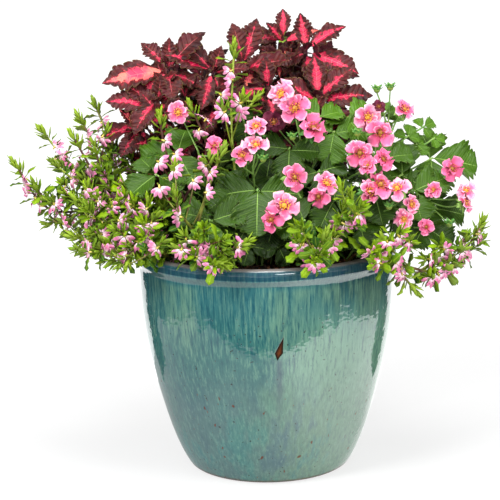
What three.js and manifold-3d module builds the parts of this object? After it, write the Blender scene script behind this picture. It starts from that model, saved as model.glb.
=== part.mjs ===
// A glazed pot planted with fan flower, a pink-flowered strawberry and coleus.
// Millimetres, +Z up, the origin at the middle of the pot's flat foot. The side seen first faces -Y.
import * as THREE from "three";
import { mergeVertices } from "three/addons/utils/BufferGeometryUtils.js";
import Module from "manifold-3d";

const wasm = await Module();
wasm.setup();

// Pot.
const potHeight = 274;
const lipRadius = 159;
const lipHeight = 18;
const lipWidth = 17;
const floorThickness = 14;
const footRadius = 98;
const potSegments = 30;
const drainHoleRadius = 8;
const drainHoleCircle = 45;
const drainHoleCount = 3;
const drainHoleSides = 10;
const lipRound = 4;
// The walls between the foot and the lip, as radius and height, the outer going up and the inner going down.
const outerWall = [[112, 22], [134, 90], [151, 165], [155, 246]];
const innerWall = [[142, 165], [122, 80], [92, floorThickness]];

// Potting mix: its height, how deep the stems stand in it, the gap round each stem and by the pot, and how far
// out from the middle a leaf stalk may come up.
const soilZ = 250;
const rootDepth = 30;
const seatGap = 0.4;
const rootReach = 118;

// Stems, as radius and number of sides, the length of their straight steps, and how far they rise before they
// lean. A bow is how far along and how far up, as shares, a stem's middle lies between its root and its tip.
const coleusStem = { radius: 2.4, sides: 5 };
const petiole = { radius: 1.6, sides: 3 };
const stalk = { radius: 1.6, sides: 3 };
const bloomBranch = { radius: 1, sides: 3 };
const budBranch = { radius: 1, sides: 3 };
const fanStem = { radius: 1.7, sides: 3 };
const stemStep = 56;
const stemRise = 6;
const coleusBow = { along: 0.55, up: 0.5 };
const stalkBow = { along: 0.5, up: 0.6 };
const petioleReach = 0.6;

// Blades. Stalk, rib, width and depth of the teeth are shares of the length, and curl and fold are in radians.
const bladeThickness = 1.2;
const stalkHalfWidth = 1;
const toothedShare = 0.96;
const coleusLeaf = {
  teeth: 4, fewTeeth: 3, fewBelow: 50, stalk: 0.1, rib: [0.1, 0.5], toothTip: 0.7,
  width: 0.56, skew: 0.72, full: 0.8, depth: 0.34, curl: 0.5, fold: 0.18,
};
const leaflet = {
  teeth: 4, fewTeeth: 4, fewBelow: 0, stalk: 0.06, rib: [0.06, 0.5], toothTip: 0.7,
  width: 0.84, skew: 1, full: 0.62, depth: 0.16, curl: 0.45, fold: 0.22,
};
// Leaves and flowers of the fan flower, with their spacing back along a stem from its tip.
const fanLeaf = {
  length: 25, width: 6.4, thickness: 1.6, widest: 0.62,
  firstAt: 2, spacing: 17, reach: 100, share: 0.7, tipCount: 2, tipRise: 26, rise: 48, smallest: 0.8, range: 0.3,
};
const fanFlower = {
  radius: 13, throat: 4, petalStep: 34, notch: 0.42, curl: 0.5, fold: 0.2,
  firstAt: 24, spacing: 19, share: 0.8, rise: 0.4,
};
// Blooms and buds of the strawberry. The eye and the calyx are shares of a bloom's size, and a pull is how far a
// branch's middle is drawn back towards the flower stalk.
const bloom = { segments: 15, rise: 3.4, eyeRise: 5.6, eyeShare: 0.5, eyeDip: 3.6, notch: 0.72 };
const calyx = { share: 0.2, neck: 3.5, sink: 0.6, droop: 16, pull: 0.3 };
const bud = { radius: 3.6, length: 8, pull: 0.4 };
// How far back from the tip of their stem the branches, leaflets and coleus leaves start, and how far apart.
const branchStart = { first: 1, step: 5 };
const leafletStart = { first: 1, step: 1.5 };
const coleusStart = { first: 1, step: 1.6, smallest: 36, slope: 0.5 };
// The step of the search for where a branch leaves its stem, the length of a side leaflet as a share of the
// middle one's, how far coleus leaves look up in degrees, and how far fan flowers lean to the front and up.
const branchSearch = 3;
const sideLeafletShare = 0.9;
const coleusLook = 45;
const flowerLean = 60;

// The smallest distance kept between two pieces, the gap between a bloom and its calyx, and the width of the
// slivers that joining may leave and that are smoothed away.
const clearance = 0.3;
const bloomGap = 0.4;
const sliver = 0.05;

// The colour and roughness of each kind of piece.
const finishes = {
  pot: { color: 0x2f7f80, roughness: 0.12 },
  potting_mix: { color: 0x4a3021, roughness: 0.95 },
  coleus_shoot: { color: 0x7a1f38, roughness: 0.55 },
  strawberry_leaf: { color: 0x3a6a30, roughness: 0.5 },
  strawberry_stalk: { color: 0x7da34c, roughness: 0.6 },
  strawberry_bloom: { color: 0xe8709c, roughness: 0.6 },
  fan_flower_stem: { color: 0x568c34, roughness: 0.55 },
};

// Coleus shoots. A leaf is its clock angle as seen from the facing side (0 right, 90 up), its lean towards that
// side, and its length.
const coleusShoots = [
  { root: [-35, 60], apex: [-117, 40, 491], facing: -90,
    leaves: [[188, 14, 80], [47, -9, 62], [132, -12, 46], [283, 55, 56], [212, 30, 56], [88, -10, 40],
      [345, 20, 46]] },
  { root: [-52, 42], apex: [-130, 10, 453], facing: -90,
    leaves: [[228, 40, 54], [184, 5, 60], [338, 35, 50], [150, -10, 46], [80, 15, 36]] },
  { root: [-66, 25], apex: [-149, 10, 421], facing: -90,
    leaves: [[187, -8, 60], [232, 35, 46], [285, 45, 44], [130, 20, 38]] },
  { root: [-12, 72], apex: [-62, 40, 486], facing: -90,
    leaves: [[157, 5, 60], [128, -5, 55], [250, 35, 50], [12, 15, 46], [308, 40, 48], [75, 10, 36]] },
  { root: [8, 92], apex: [-24, 62, 492], facing: -90,
    leaves: [[96, 0, 50], [70, -5, 58], [2, 30, 68], [288, 45, 52], [180, 30, 44]] },
  { root: [34, 104], apex: [27, 84, 517], facing: -90,
    leaves: [[83, -10, 38], [163, 0, 46], [20, 10, 46], [262, 45, 48], [118, 20, 34]] },
  { root: [56, 82], apex: [55, 58, 508], facing: -90,
    leaves: [[33, 0, 54], [343, 17, 68], [97, -5, 45], [282, 45, 52], [200, 30, 40]] },
  { root: [76, 56], apex: [66, 20, 452], facing: -90,
    leaves: [[89, -15, 50], [44, -8, 56], [5, 9, 66], [142, 18, 55], [330, 30, 56], [270, 40, 44]] },
  { root: [14, 44], apex: [6, 12, 466], facing: -90,
    leaves: [[200, 30, 50], [350, 35, 46], [280, 50, 48], [90, 10, 40]] },
  { root: [-38, 100], apex: [-78, 132, 468], facing: 110,
    leaves: [[5, 10, 56], [60, 0, 50], [122, -5, 52], [178, 15, 58], [240, 42, 52], [302, 42, 52]] },
  { root: [62, 112], apex: [66, 138, 470], facing: 70,
    leaves: [[2, 10, 56], [58, 0, 50], [118, -5, 52], [176, 15, 58], [238, 42, 52], [300, 42, 52]] },
];

// Strawberry leaves: the hub of three leaflets, the side its face looks to, how far that face looks up, the
// clock angle of the middle leaflet, the angle to the other two, and the leaflets' length.
const strawberryLeaves = [
  { hub: [-104, -50, 395], facing: -95, look: 48, clock: 188, spread: 108, size: 50 },
  { hub: [-9, -85, 355], facing: -90, look: 38, clock: 268, spread: 92, size: 60 },
  { hub: [-65, -112, 325], facing: -92, look: 40, clock: 265, spread: 110, size: 47 },
  { hub: [84, -30, 414], facing: -88, look: 42, clock: 256, spread: 118, size: 44 },
  { hub: [30, -48, 398], facing: -90, look: 40, clock: 262, spread: 92, size: 40 },
  { hub: [164, -40, 362], facing: -80, look: 42, clock: 78, spread: 108, size: 46 },
  { hub: [204, 0, 375], facing: -75, look: 50, clock: 345, spread: 92, size: 58 },
  { hub: [200, -30, 319], facing: -72, look: 45, clock: 342, spread: 86, size: 44 },
  { hub: [44, -117, 323], facing: -88, look: 42, clock: 200, spread: 96, size: 36 },
  { hub: [80, -95, 342], facing: -82, look: 42, clock: 335, spread: 96, size: 42 },
  { hub: [-24, -12, 429], facing: -90, look: 45, clock: 18, spread: 100, size: 36 },
  { hub: [-84, 108, 372], facing: 125, look: 45, clock: 268, spread: 92, size: 52 },
  { hub: [112, 100, 366], facing: 48, look: 45, clock: 270, spread: 92, size: 52 },
];

// Strawberry flower stalks with their blooms, as place, facing side, look up and width. Blooms of one group
// touch and hold together, and those with no group are part of the stalk. Buds are places.
const strawberryStalks = [
  { root: [38, -8], hub: [44, -30, 402],
    blooms: [[22, -46, 460, -92, 30, 30, "01"], [37, -55, 444, -88, 30, 35, "01"],
      [57, -64, 421, -90, 28, 34, "02"], [12, -42, 427, -110, 20, 25, ""]],
    buds: [[33, -62, 408]] },
  { root: [-10, -32], hub: [-14, -56, 378],
    blooms: [[-9, -62, 424, -90, 30, 28, "03"], [-10, -73, 404, -88, 28, 28, "03"],
      [-27, -79, 393, -94, 28, 26, "03"]],
    buds: [[-2, -84, 386]] },
  { root: [-58, -22], hub: [-78, -48, 396],
    blooms: [[-100, -44, 441, -95, 35, 26, ""], [-58, -72, 404, -88, 30, 22, ""]],
    buds: [] },
  { root: [36, -70], hub: [44, -88, 340],
    blooms: [[33, -100, 370, -92, 30, 31, "04"], [70, -98, 361, -88, 30, 28, "05"],
      [61, -105, 348, -92, 30, 25, "05"], [20, -120, 340, -88, 30, 35, "06"],
      [6, -129, 326, -92, 30, 28, "06"]],
    buds: [] },
  { root: [96, -26], hub: [132, -52, 378],
    blooms: [[121, -48, 431, -92, 30, 30, "07"], [135, -57, 414, -88, 30, 32, "07"],
      [110, -82, 394, -92, 30, 32, "08"], [119, -90, 380, -90, 30, 24, "08"],
      [136, -85, 386, -86, 30, 25, "08"]],
    buds: [[108, -70, 412]] },
  { root: [92, -58], hub: [146, -72, 330],
    blooms: [[132, -99, 359, -90, 30, 33, "09"], [118, -104, 352, -92, 30, 29, "09"],
      [151, -103, 355, -86, 30, 29, "09"], [168, -92, 334, -80, 25, 23, ""], [160, -98, 318, -95, 15, 22, ""],
      [186, -86, 306, -75, 20, 18, ""]],
    buds: [[142, -100, 330]] },
  { root: [100, 12], hub: [156, -2, 412],
    blooms: [[168, -12, 435, -80, 45, 26, "10"], [138, -16, 440, -95, 30, 16, ""]],
    buds: [[136, -10, 456], [152, -8, 458]] },
  { root: [108, -6], hub: [206, -34, 336],
    blooms: [[221, -44, 367, -80, 30, 28, "11"], [198, -62, 345, -90, 20, 20, ""],
      [238, -46, 341, -74, 28, 23, "12"], [236, -54, 327, -76, 28, 22, "12"]],
    buds: [[216, -66, 302]] },
  { root: [-6, 112], hub: [-4, 150, 380],
    blooms: [[-26, 168, 404, 95, 30, 30, ""], [18, 170, 392, 85, 25, 30, ""]],
    buds: [[-4, 170, 410]] },
];

// Fan-flower stems: the points each passes through, its tip last, and how many flowers stand on it. The stems
// after the first of a piece branch off it.
const fanStems = [
  [{ route: [[-92, -8, 270], [-170, -22, 322], [-256, -30, 326], [-298, -30, 384]], flowers: 2 }],
  [{ route: [[-90, 18, 270], [-168, 8, 330], [-232, 2, 375], [-270, 10, 418]], flowers: 3 },
    { route: [[-168, 8, 330], [-215, -24, 352], [-250, -38, 383]], flowers: 1 }],
  [{ route: [[-78, 34, 270], [-152, 20, 350], [-199, 12, 391], [-224, 20, 432]], flowers: 1 },
    { route: [[-152, 20, 350], [-185, 30, 398], [-207, 42, 446]], flowers: 2 }],
  [{ route: [[-96, -30, 270], [-150, -36, 330], [-196, -34, 362], [-228, -24, 414]], flowers: 3 }],
  [{ route: [[-100, -48, 270], [-160, -66, 300], [-196, -74, 312], [-224, -66, 345]], flowers: 2 },
    { route: [[-160, -66, 300], [-196, -82, 296], [-232, -72, 302]], flowers: 2 }],
  [{ route: [[-98, -66, 270], [-136, -92, 289], [-174, -104, 287], [-210, -92, 285]], flowers: 2 },
    { route: [[-136, -92, 289], [-148, -116, 300], [-160, -132, 278]], flowers: 3 }],
  [{ route: [[-72, -48, 270], [-96, -58, 340], [-116, -62, 400], [-121, -62, 440]], flowers: 1 },
    { route: [[-96, -58, 340], [-68, -50, 396], [-86, -44, 449]], flowers: 1 }],
  [{ route: [[-26, -30, 270], [-34, -42, 350], [-38, -34, 430], [-33, -24, 516]], flowers: 2 },
    { route: [[-38, -34, 430], [-22, -30, 440], [-6, -26, 456]], flowers: 1 }],
  [{ route: [[-62, -84, 270], [-82, -112, 310], [-98, -128, 335], [-103, -132, 360]], flowers: 2 },
    { route: [[-82, -112, 310], [-66, -108, 360], [-48, -94, 404]], flowers: 1 }],
  [{ route: [[-44, -104, 270], [-78, -138, 300], [-74, -160, 294], [-48, -172, 284]], flowers: 3 }],
  [{ route: [[52, -108, 270], [48, -140, 296], [58, -158, 296], [66, -156, 314]], flowers: 3 },
    { route: [[52, -108, 270], [88, -116, 310], [101, -126, 330], [96, -126, 354]], flowers: 1 }],
  [{ route: [[86, -78, 270], [122, -112, 288], [160, -124, 268], [212, -90, 256], [252, -62, 298]],
    flowers: 3 },
    { route: [[122, -112, 288], [140, -134, 276], [170, -132, 240]], flowers: 2 }],
  [{ route: [[-4, 134, 266], [-70, 160, 310], [-120, 172, 330]], flowers: 1 },
    { route: [[-4, 134, 266], [70, 164, 312], [128, 168, 330]], flowers: 1 }],
];

const up = new THREE.Vector3(0, 0, 1);
const radians = THREE.MathUtils.degToRad;
const vector = (list) => new THREE.Vector3(...list);
const numbered = (kind, index) => kind + "_" + String(index + 1).padStart(2, "0");

// A repeatable number from 0 to 1 for the item with this index.
function scatter(index) {
  const wave = Math.sin(index * 12.9898) * 43758.5453;
  return wave - Math.floor(wave);
}

// A closed geometry as a solid, with its shared vertices merged and its empty triangles dropped.
function solidOf(geometry) {
  const bare = new THREE.BufferGeometry().setAttribute("position", geometry.getAttribute("position"));
  if (geometry.index) bare.setIndex(geometry.index);
  const merged = mergeVertices(bare, 1e-4);
  const corners = merged.index.array;
  const triVerts = [];
  for (let i = 0; i < corners.length; i += 3) {
    const [a, b, c] = [corners[i], corners[i + 1], corners[i + 2]];
    if (a !== b && b !== c && c !== a) triVerts.push(a, b, c);
  }
  return new wasm.Manifold(new wasm.Mesh({
    numProp: 3,
    vertProperties: new Float32Array(merged.getAttribute("position").array),
    triVerts: new Uint32Array(triVerts),
  }));
}

function geometryOf(solid) {
  const mesh = solid.getMesh();
  return new THREE.BufferGeometry()
    .setAttribute("position", new THREE.BufferAttribute(mesh.vertProperties, mesh.numProp))
    .setIndex(new THREE.BufferAttribute(mesh.triVerts, 1));
}

// The body of revolution of a profile of radius and height.
function lathe(profile, segments) {
  const points = profile.map(([radius, z]) => new THREE.Vector2(radius, z));
  return new THREE.LatheGeometry(points, segments).rotateX(Math.PI / 2);
}

// The sideways directions of a tube's section at each of its points, carried along without twist.
function sections(points) {
  const last = points.length - 1;
  let side = new THREE.Vector3(1, 0.3, 0.1);
  return points.map((point, i) => {
    const tangent = points[Math.min(i + 1, last)].clone().sub(points[Math.max(i - 1, 0)]).normalize();
    side = side.clone().addScaledVector(tangent, -side.dot(tangent)).normalize();
    return { side, other: new THREE.Vector3().crossVectors(tangent, side) };
  });
}

// A cylinder bent along a row of points, as wide at each as its radius there.
function tube(points, radii, sides) {
  const rows = points.length - 1;
  const geometry = new THREE.CylinderGeometry(1, 1, 1, sides, rows);
  const position = geometry.getAttribute("position");
  const frames = sections(points);
  for (let i = 0; i < position.count; i++) {
    const row = Math.round((0.5 - position.getY(i)) * rows);
    const { side, other } = frames[row];
    const place = points[row].clone()
      .addScaledVector(side, position.getX(i) * radii[row])
      .addScaledVector(other, position.getZ(i) * radii[row]);
    position.setXYZ(i, place.x, place.y, place.z);
  }
  return solidOf(geometry);
}

function plainTube(points, stem, grow = 0) {
  return tube(points, points.map(() => stem.radius + grow), stem.sides);
}

// Points at even steps along a curve.
function stepped(curve) {
  return curve.getSpacedPoints(Math.max(2, Math.round(curve.getLength() / stemStep)));
}

function smooth(points) {
  return new THREE.CatmullRomCurve3(points, false, "centripetal");
}

// A thin blade along +Y, face up: thickest on its rib and fine at its margin. The right half is zipped from its
// rib to its outline and mirrored, and both faces share one set of triangles.
function blade(outline, rib, length, { curl, fold }) {
  const positions = [];
  const addPoint = ([x, y], offset) => {
    const bend = (curl * y) / length;
    const lift = Math.abs(x) * Math.sin(fold) + offset;
    const along = (length * Math.sin(bend)) / curl + lift * Math.sin(bend);
    const height = (-length * (1 - Math.cos(bend))) / curl + lift * Math.cos(bend);
    return positions.push(x * Math.cos(fold), along, height) / 3 - 1;
  };
  const last = outline.length - 1;
  const rightEdge = outline.map((point) => addPoint(point, 0));
  const leftEdge = outline.map(([x, y], i) => (i % last === 0 ? rightEdge[i] : addPoint([-x, y], 0)));
  const index = [];
  for (const side of [1, -1]) {
    const spine = [rightEdge[0], ...rib.map((y) => addPoint([0, y], (side * bladeThickness) / 2))];
    for (const edge of [rightEdge, leftEdge]) {
      const ahead = (edge === rightEdge) === (side > 0);
      let i = 0;
      for (let j = 0; j < last; j++) {
        while (i < rib.length && rib[i] <= outline[j + 1][1]) {
          index.push(spine[i], ...(ahead ? [edge[j], spine[i + 1]] : [spine[i + 1], edge[j]]));
          i += 1;
        }
        index.push(spine[i], ...(ahead ? [edge[j], edge[j + 1]] : [edge[j + 1], edge[j]]));
      }
    }
  }
  const geometry = new THREE.BufferGeometry()
    .setAttribute("position", new THREE.Float32BufferAttribute(positions, 3))
    .setIndex(index);
  return solidOf(geometry);
}

// A leaf on a narrow stalk, its teeth leaning to the tip, fewer on a small leaf.
function toothedBlade(length, leaf) {
  const teeth = length < leaf.fewBelow ? leaf.fewTeeth : leaf.teeth;
  const widest = (length * leaf.width) / 2;
  const halfWidth = (share) => widest * Math.sin(Math.PI * share ** leaf.skew) ** leaf.full;
  const outline = [[0, 0], [stalkHalfWidth, leaf.stalk * length]];
  const toothed = toothedShare - leaf.stalk;
  for (let i = 0; i < teeth; i++) {
    const tip = leaf.stalk + (toothed * (i + leaf.toothTip)) / teeth;
    const notch = leaf.stalk + (toothed * (i + 1)) / teeth;
    outline.push([halfWidth(tip), tip * length]);
    if (i < teeth - 1) outline.push([halfWidth(notch) * (1 - leaf.depth), notch * length]);
  }
  return blade([...outline, [0, length]], leaf.rib.map((share) => share * length), length, leaf);
}

// A fan flower: five narrow petals spread over half a round.
function fanFlowerBlade() {
  const { radius, throat, petalStep, notch } = fanFlower;
  const outline = [[0, 0], [stalkHalfWidth, throat]];
  for (const [turn, share] of [[2, 1], [1.5, notch], [1, 1], [0.5, notch]]) {
    const angle = radians(turn * petalStep);
    outline.push([radius * share * Math.sin(angle), throat + radius * share * Math.cos(angle)]);
  }
  return blade([...outline, [0, throat + radius]], [throat + 1], throat + radius, fanFlower);
}

// A small spoon-shaped leaf along +Y, flat above and keeled below.
function fanLeafSolid(length) {
  const outline = [[0, 0], [1, fanLeaf.widest], [0, 1]].map(([radius, y]) => new THREE.Vector2(radius, y));
  const across = fanLeaf.width / Math.sqrt(3);
  return solidOf(new THREE.LatheGeometry(outline, 3).scale(-across, length, -fanLeaf.thickness / 1.5));
}

// A semi-double bloom, its base at the origin, face up: broad outer petals and a raised ring round the eye.
function bloomSolid(width) {
  const rim = width / 2;
  const eye = rim * bloom.eyeShare;
  const profile = [[0, 0], [rim, bloom.rise], [eye, bloom.eyeRise], [0, bloom.eyeDip]];
  const geometry = lathe(profile, bloom.segments);
  const position = geometry.getAttribute("position");
  for (let i = 0; i < position.count; i++) {
    const [x, y] = [position.getX(i), position.getY(i)];
    const sector = Math.round((Math.atan2(y, x) * bloom.segments) / (2 * Math.PI)) + bloom.segments;
    const between = sector % 3 === 0;
    const outer = Math.hypot(x, y) > (eye + rim) / 2;
    const share = outer === between ? bloom.notch : 1;
    position.setXY(i, x * share, y * share);
  }
  return solidOf(geometry);
}

// The solid with its length laid along one direction and its face turned towards another, then bent a little.
function placed(solid, base, along, face, turn = 0, lift = 0) {
  const y = along.clone().normalize();
  const z = face.clone().addScaledVector(y, -face.dot(y)).normalize();
  const x = new THREE.Vector3().crossVectors(y, z);
  const bend = new THREE.Euler(radians(lift), 0, radians(turn), "ZXY");
  const basis = new THREE.Matrix4().makeBasis(x, y, z);
  const matrix = basis.multiply(new THREE.Matrix4().makeRotationFromEuler(bend)).setPosition(base);
  return solid.transform(matrix.toArray());
}

// The directions of something that faces this way round: its right, and the way it looks when tipped up.
function outlook(facing, look = 0) {
  const out = new THREE.Vector3(Math.cos(radians(facing)), Math.sin(radians(facing)), 0);
  const right = new THREE.Vector3(-out.y, out.x, 0);
  const tip = radians(look);
  const face = out.clone().multiplyScalar(Math.cos(tip)).addScaledVector(up, Math.sin(tip));
  return { out, right, face, rise: new THREE.Vector3().crossVectors(face, right) };
}

// Every placed solid, with the name of the piece it belongs to.
const placedParts = [];

function keep(name, solid) {
  placedParts.push({ name, solid, box: solid.boundingBox() });
}

function boxesMeet(a, b) {
  return [0, 1, 2].every((i) => a.min[i] - clearance < b.max[i] && b.min[i] - clearance < a.max[i]);
}

function isClear(name, solid) {
  const box = solid.boundingBox();
  return placedParts.every((part) =>
    part.name === name || !boxesMeet(part.box, box) || solid.minGap(part.solid, clearance) >= clearance);
}

// Moves in eight directions by each of these amounts, the smallest first, after no move at all.
function rings(amounts) {
  const moves = [[0, 0]];
  for (const amount of amounts) {
    for (let i = 0; i < 8; i++) {
      const angle = (Math.PI * i) / 4;
      moves.push([amount * Math.cos(angle), amount * Math.sin(angle)]);
    }
  }
  return moves;
}

// Turns and lifts, in degrees, that bend a blade clear of its neighbours, and shifts, in millimetres, that lead
// a stem clear of them.
const bends = rings([8, 16, 24, 34, 46]);
const shifts = rings([5, 10, 16]);

// Makes a solid by the first of these moves that leaves it clear of the other pieces, keeps it, and gives that
// move.
function settle(name, moves, make) {
  for (const move of moves) {
    const solid = make(...move);
    if (isClear(name, solid)) {
      keep(name, solid);
      return move;
    }
  }
  throw new Error("no clear place for a part of " + name);
}

function settleBlade(name, solid, base, along, face) {
  settle(name, bends, (turn, lift) => placed(solid, base, along, face, turn, lift));
}

// The rows of points of each piece's stems, the main one first, and the holes of the stems in the soil.
const stems = new Map();
const stemHoles = [];

// A stem straight up through the soil and on a smooth curve to its tip.
function plantStem(name, stem, [rootX, rootY], points) {
  const rowFor = (dx, dy) => {
    const rise = new THREE.Vector3(rootX + dx, rootY + dy, soilZ + stemRise);
    const foot = rise.clone().setZ(soilZ - rootDepth);
    const middle = points.slice(0, -1).map(([x, y, z]) => new THREE.Vector3(x + dx / 2, y + dy / 2, z));
    return [foot, ...stepped(smooth([rise, ...middle, vector(points.at(-1))]))];
  };
  const row = rowFor(...settle(name, shifts, (dx, dy) => plainTube(rowFor(dx, dy), stem)));
  stems.set(name, [row]);
  stemHoles.push(plainTube(row, stem, seatGap).translate([0, 0, -seatGap]));
}

// A place on a stem this far back from its tip, with the stem's direction and its section's directions there.
function backFromTip(row, distance) {
  const frames = sections(row);
  let left = distance;
  for (let i = row.length - 1; i > 0; i--) {
    const step = row[i].distanceTo(row[i - 1]);
    if (left <= step || i === 1) {
      const tangent = row[i].clone().sub(row[i - 1]).normalize();
      return { point: row[i].clone().addScaledVector(tangent, -left), tangent, ...frames[i] };
    }
    left -= step;
  }
  throw new Error("a stem needs two points");
}

function rowLength(row) {
  return row.slice(1).reduce((sum, point, i) => sum + point.distanceTo(row[i]), 0);
}

// The direction out of the middle of one of a three-sided stem's faces.
function outOfFace({ side, other }, number) {
  const angle = (Math.PI * (1 + 2 * number)) / 3;
  return side.clone().multiplyScalar(Math.sin(angle)).addScaledVector(other, Math.cos(angle));
}

// Pot.
function potSolid() {
  const lipInner = lipRadius - lipWidth;
  const lipFoot = potHeight - lipHeight;
  const lipTop = potHeight - lipRound;
  const profile = [[0, 0], [footRadius, 0], ...outerWall,
    [lipRadius, lipFoot + lipRound / 2], [lipRadius, lipTop], [lipRadius - lipRound, potHeight],
    [lipInner + lipRound, potHeight], [lipInner, lipTop], ...innerWall, [0, floorThickness]];
  let pot = solidOf(lathe(profile, potSegments));
  for (let i = 0; i < drainHoleCount; i++) {
    const angle = (2 * Math.PI * i) / drainHoleCount;
    const [x, y] = [drainHoleCircle * Math.cos(angle), drainHoleCircle * Math.sin(angle)];
    const drill = new THREE.CylinderGeometry(drainHoleRadius, drainHoleRadius, 3 * floorThickness, drainHoleSides);
    pot = pot.subtract(solidOf(drill.rotateX(Math.PI / 2).translate(x, y, floorThickness / 2)));
  }
  return pot;
}

// Potting mix, a loose fit in the pot, with a plain hole for each stem.
function soilSolid() {
  const bottom = floorThickness + seatGap;
  const wall = innerWall.map(([radius, z]) => [radius - 2 * seatGap, Math.max(z, bottom)]).reverse();
  const edge = lipRadius - lipWidth - 2 * seatGap;
  const mix = solidOf(lathe([[0, bottom], ...wall, [edge, soilZ], [0, soilZ]], potSegments));
  return stemHoles.reduce((rest, hole) => rest.subtract(hole), mix);
}

// The middle of a stem between its root and its tip.
function bowed([rootX, rootY], [x, y, z], bow) {
  return [rootX + (x - rootX) * bow.along, rootY + (y - rootY) * bow.along, soilZ + (z - soilZ) * bow.up];
}

function growStems() {
  coleusShoots.forEach(({ root, apex }, i) => {
    plantStem(numbered("coleus_shoot", i), coleusStem, root, [bowed(root, apex, coleusBow), apex]);
  });
  fanStems.forEach(([{ route }], i) => {
    plantStem(numbered("fan_flower_stem", i), fanStem, route[0], route.slice(1));
  });
  strawberryStalks.forEach(({ root, hub }, i) => {
    plantStem(numbered("strawberry_stalk", i), stalk, root, [bowed(root, hub, stalkBow), hub]);
  });
  strawberryLeaves.forEach(({ hub }, i) => {
    const reach = Math.min(petioleReach, rootReach / Math.hypot(hub[0], hub[1]));
    const root = [hub[0] * reach, hub[1] * reach];
    const bow = { along: (reach + petioleReach) / 2, up: stalkBow.up };
    plantStem(numbered("strawberry_leaf", i), petiole, root, [bowed([0, 0], hub, bow), hub]);
  });
}

// A thin branch to its end, and on through the wider points that close it.
function growBranch(name, branch, start, middle, end, closing) {
  settle(name, shifts, (dx, dz) => {
    const bent = middle.clone().add(new THREE.Vector3(dx, 0, dz));
    const row = stepped(new THREE.QuadraticBezierCurve3(start, bent, end));
    const radii = [...row.map(() => branch.radius), ...closing.map(({ radius }) => radius)];
    return tube([...row, ...closing.map(({ point }) => point)], radii, branch.sides);
  });
}

// Where the branch with this number leaves a flower stalk.
function branchPoint(name, number) {
  return backFromTip(stems.get(name)[0], branchStart.first + branchStart.step * number).point;
}

// The blooms take their places first, then the branches reach up under them and flare into calyces.
function growStrawberryFlowers() {
  const seats = [];
  strawberryStalks.forEach(({ blooms }, i) => {
    const name = numbered("strawberry_stalk", i);
    blooms.forEach(([x, y, z, facing, look, width, group], j) => {
      const { face, rise } = outlook(facing, look);
      const holder = group ? "strawberry_bloom_" + group : name;
      const seat = new THREE.Vector3(x, y, z);
      settle(holder, [[0, 0]], () => placed(bloomSolid(width), seat, rise, face));
      seats.push({ name, j, seat, face, width, gap: group ? bloomGap : -calyx.sink });
    });
  });
  for (const { name, j, seat, face, width, gap } of seats) {
    const start = branchPoint(name, j);
    const neck = seat.clone().addScaledVector(face, -gap - calyx.neck);
    const middle = seat.clone().addScaledVector(face, -calyx.droop).lerp(start, calyx.pull);
    const cup = { point: seat.clone().addScaledVector(face, -gap), radius: width * calyx.share };
    growBranch(name, bloomBranch, start, middle, neck, [cup]);
  }
  strawberryStalks.forEach(({ blooms, buds }, i) => {
    const name = numbered("strawberry_stalk", i);
    buds.forEach((place, j) => {
      const start = branchPoint(name, blooms.length + j);
      const base = vector(place);
      const middle = base.clone().lerp(start, bud.pull).addScaledVector(up, bud.length / 2);
      const belly = { point: base.clone().addScaledVector(up, bud.length / 2), radius: bud.radius };
      const tip = { point: base.clone().addScaledVector(up, bud.length), radius: budBranch.radius };
      growBranch(name, budBranch, start, middle, base, [belly, tip]);
    });
  });
}

// The point of a stem above the soil that lies nearest to a place.
function nearestOnStem(row, place) {
  let nearest = backFromTip(row, branchSearch).point;
  for (let back = branchSearch; back < rowLength(row) - rootDepth; back += branchSearch) {
    const { point } = backFromTip(row, back);
    if (point.distanceTo(place) < nearest.distanceTo(place)) nearest = point;
  }
  return nearest;
}

function growFanBranches() {
  fanStems.forEach(([, ...branches], i) => {
    const name = numbered("fan_flower_stem", i);
    const rows = stems.get(name);
    for (const { route } of branches) {
      const points = route.map(vector);
      const start = nearestOnStem(rows[0], points[0]);
      const rowFor = (dx, dz) => {
        const middle = points.slice(1, -1).map((point) => point.clone().add(new THREE.Vector3(dx, 0, dz)));
        return stepped(smooth([start, ...middle, points.at(-1)]));
      };
      rows.push(rowFor(...settle(name, shifts, (dx, dz) => plainTube(rowFor(dx, dz), fanStem))));
    }
  });
}

function growStrawberryLeaves() {
  strawberryLeaves.forEach(({ facing, look, clock, spread, size }, i) => {
    const name = numbered("strawberry_leaf", i);
    const { right, face, rise } = outlook(facing, look);
    [0, -spread, spread].forEach((turn, j) => {
      const angle = radians(clock + turn);
      const along = right.clone().multiplyScalar(Math.cos(angle)).addScaledVector(rise, Math.sin(angle));
      const { point } = backFromTip(stems.get(name)[0], leafletStart.first + leafletStart.step * j);
      const length = j === 0 ? size : size * sideLeafletShare;
      settleBlade(name, toothedBlade(length, leaflet), point, along, face);
    });
  });
}

// The large leaves of a shoot start lower than the small ones.
function growColeusLeaves() {
  coleusShoots.forEach(({ facing, leaves }, i) => {
    const name = numbered("coleus_shoot", i);
    const { out, right, face } = outlook(facing, coleusLook);
    leaves.forEach(([clock, toward, length], j) => {
      const [angle, lean] = [radians(clock), radians(toward)];
      const along = right.clone().multiplyScalar(Math.cos(angle) * Math.cos(lean))
        .addScaledVector(up, Math.sin(angle) * Math.cos(lean))
        .addScaledVector(out, Math.sin(lean));
      const drop = Math.max(0, length - coleusStart.smallest) * coleusStart.slope;
      const { point } = backFromTip(stems.get(name)[0], coleusStart.first + coleusStart.step * j + drop);
      settleBlade(name, toothedBlade(length, coleusLeaf), point, along, face);
    });
  });
}

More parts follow.
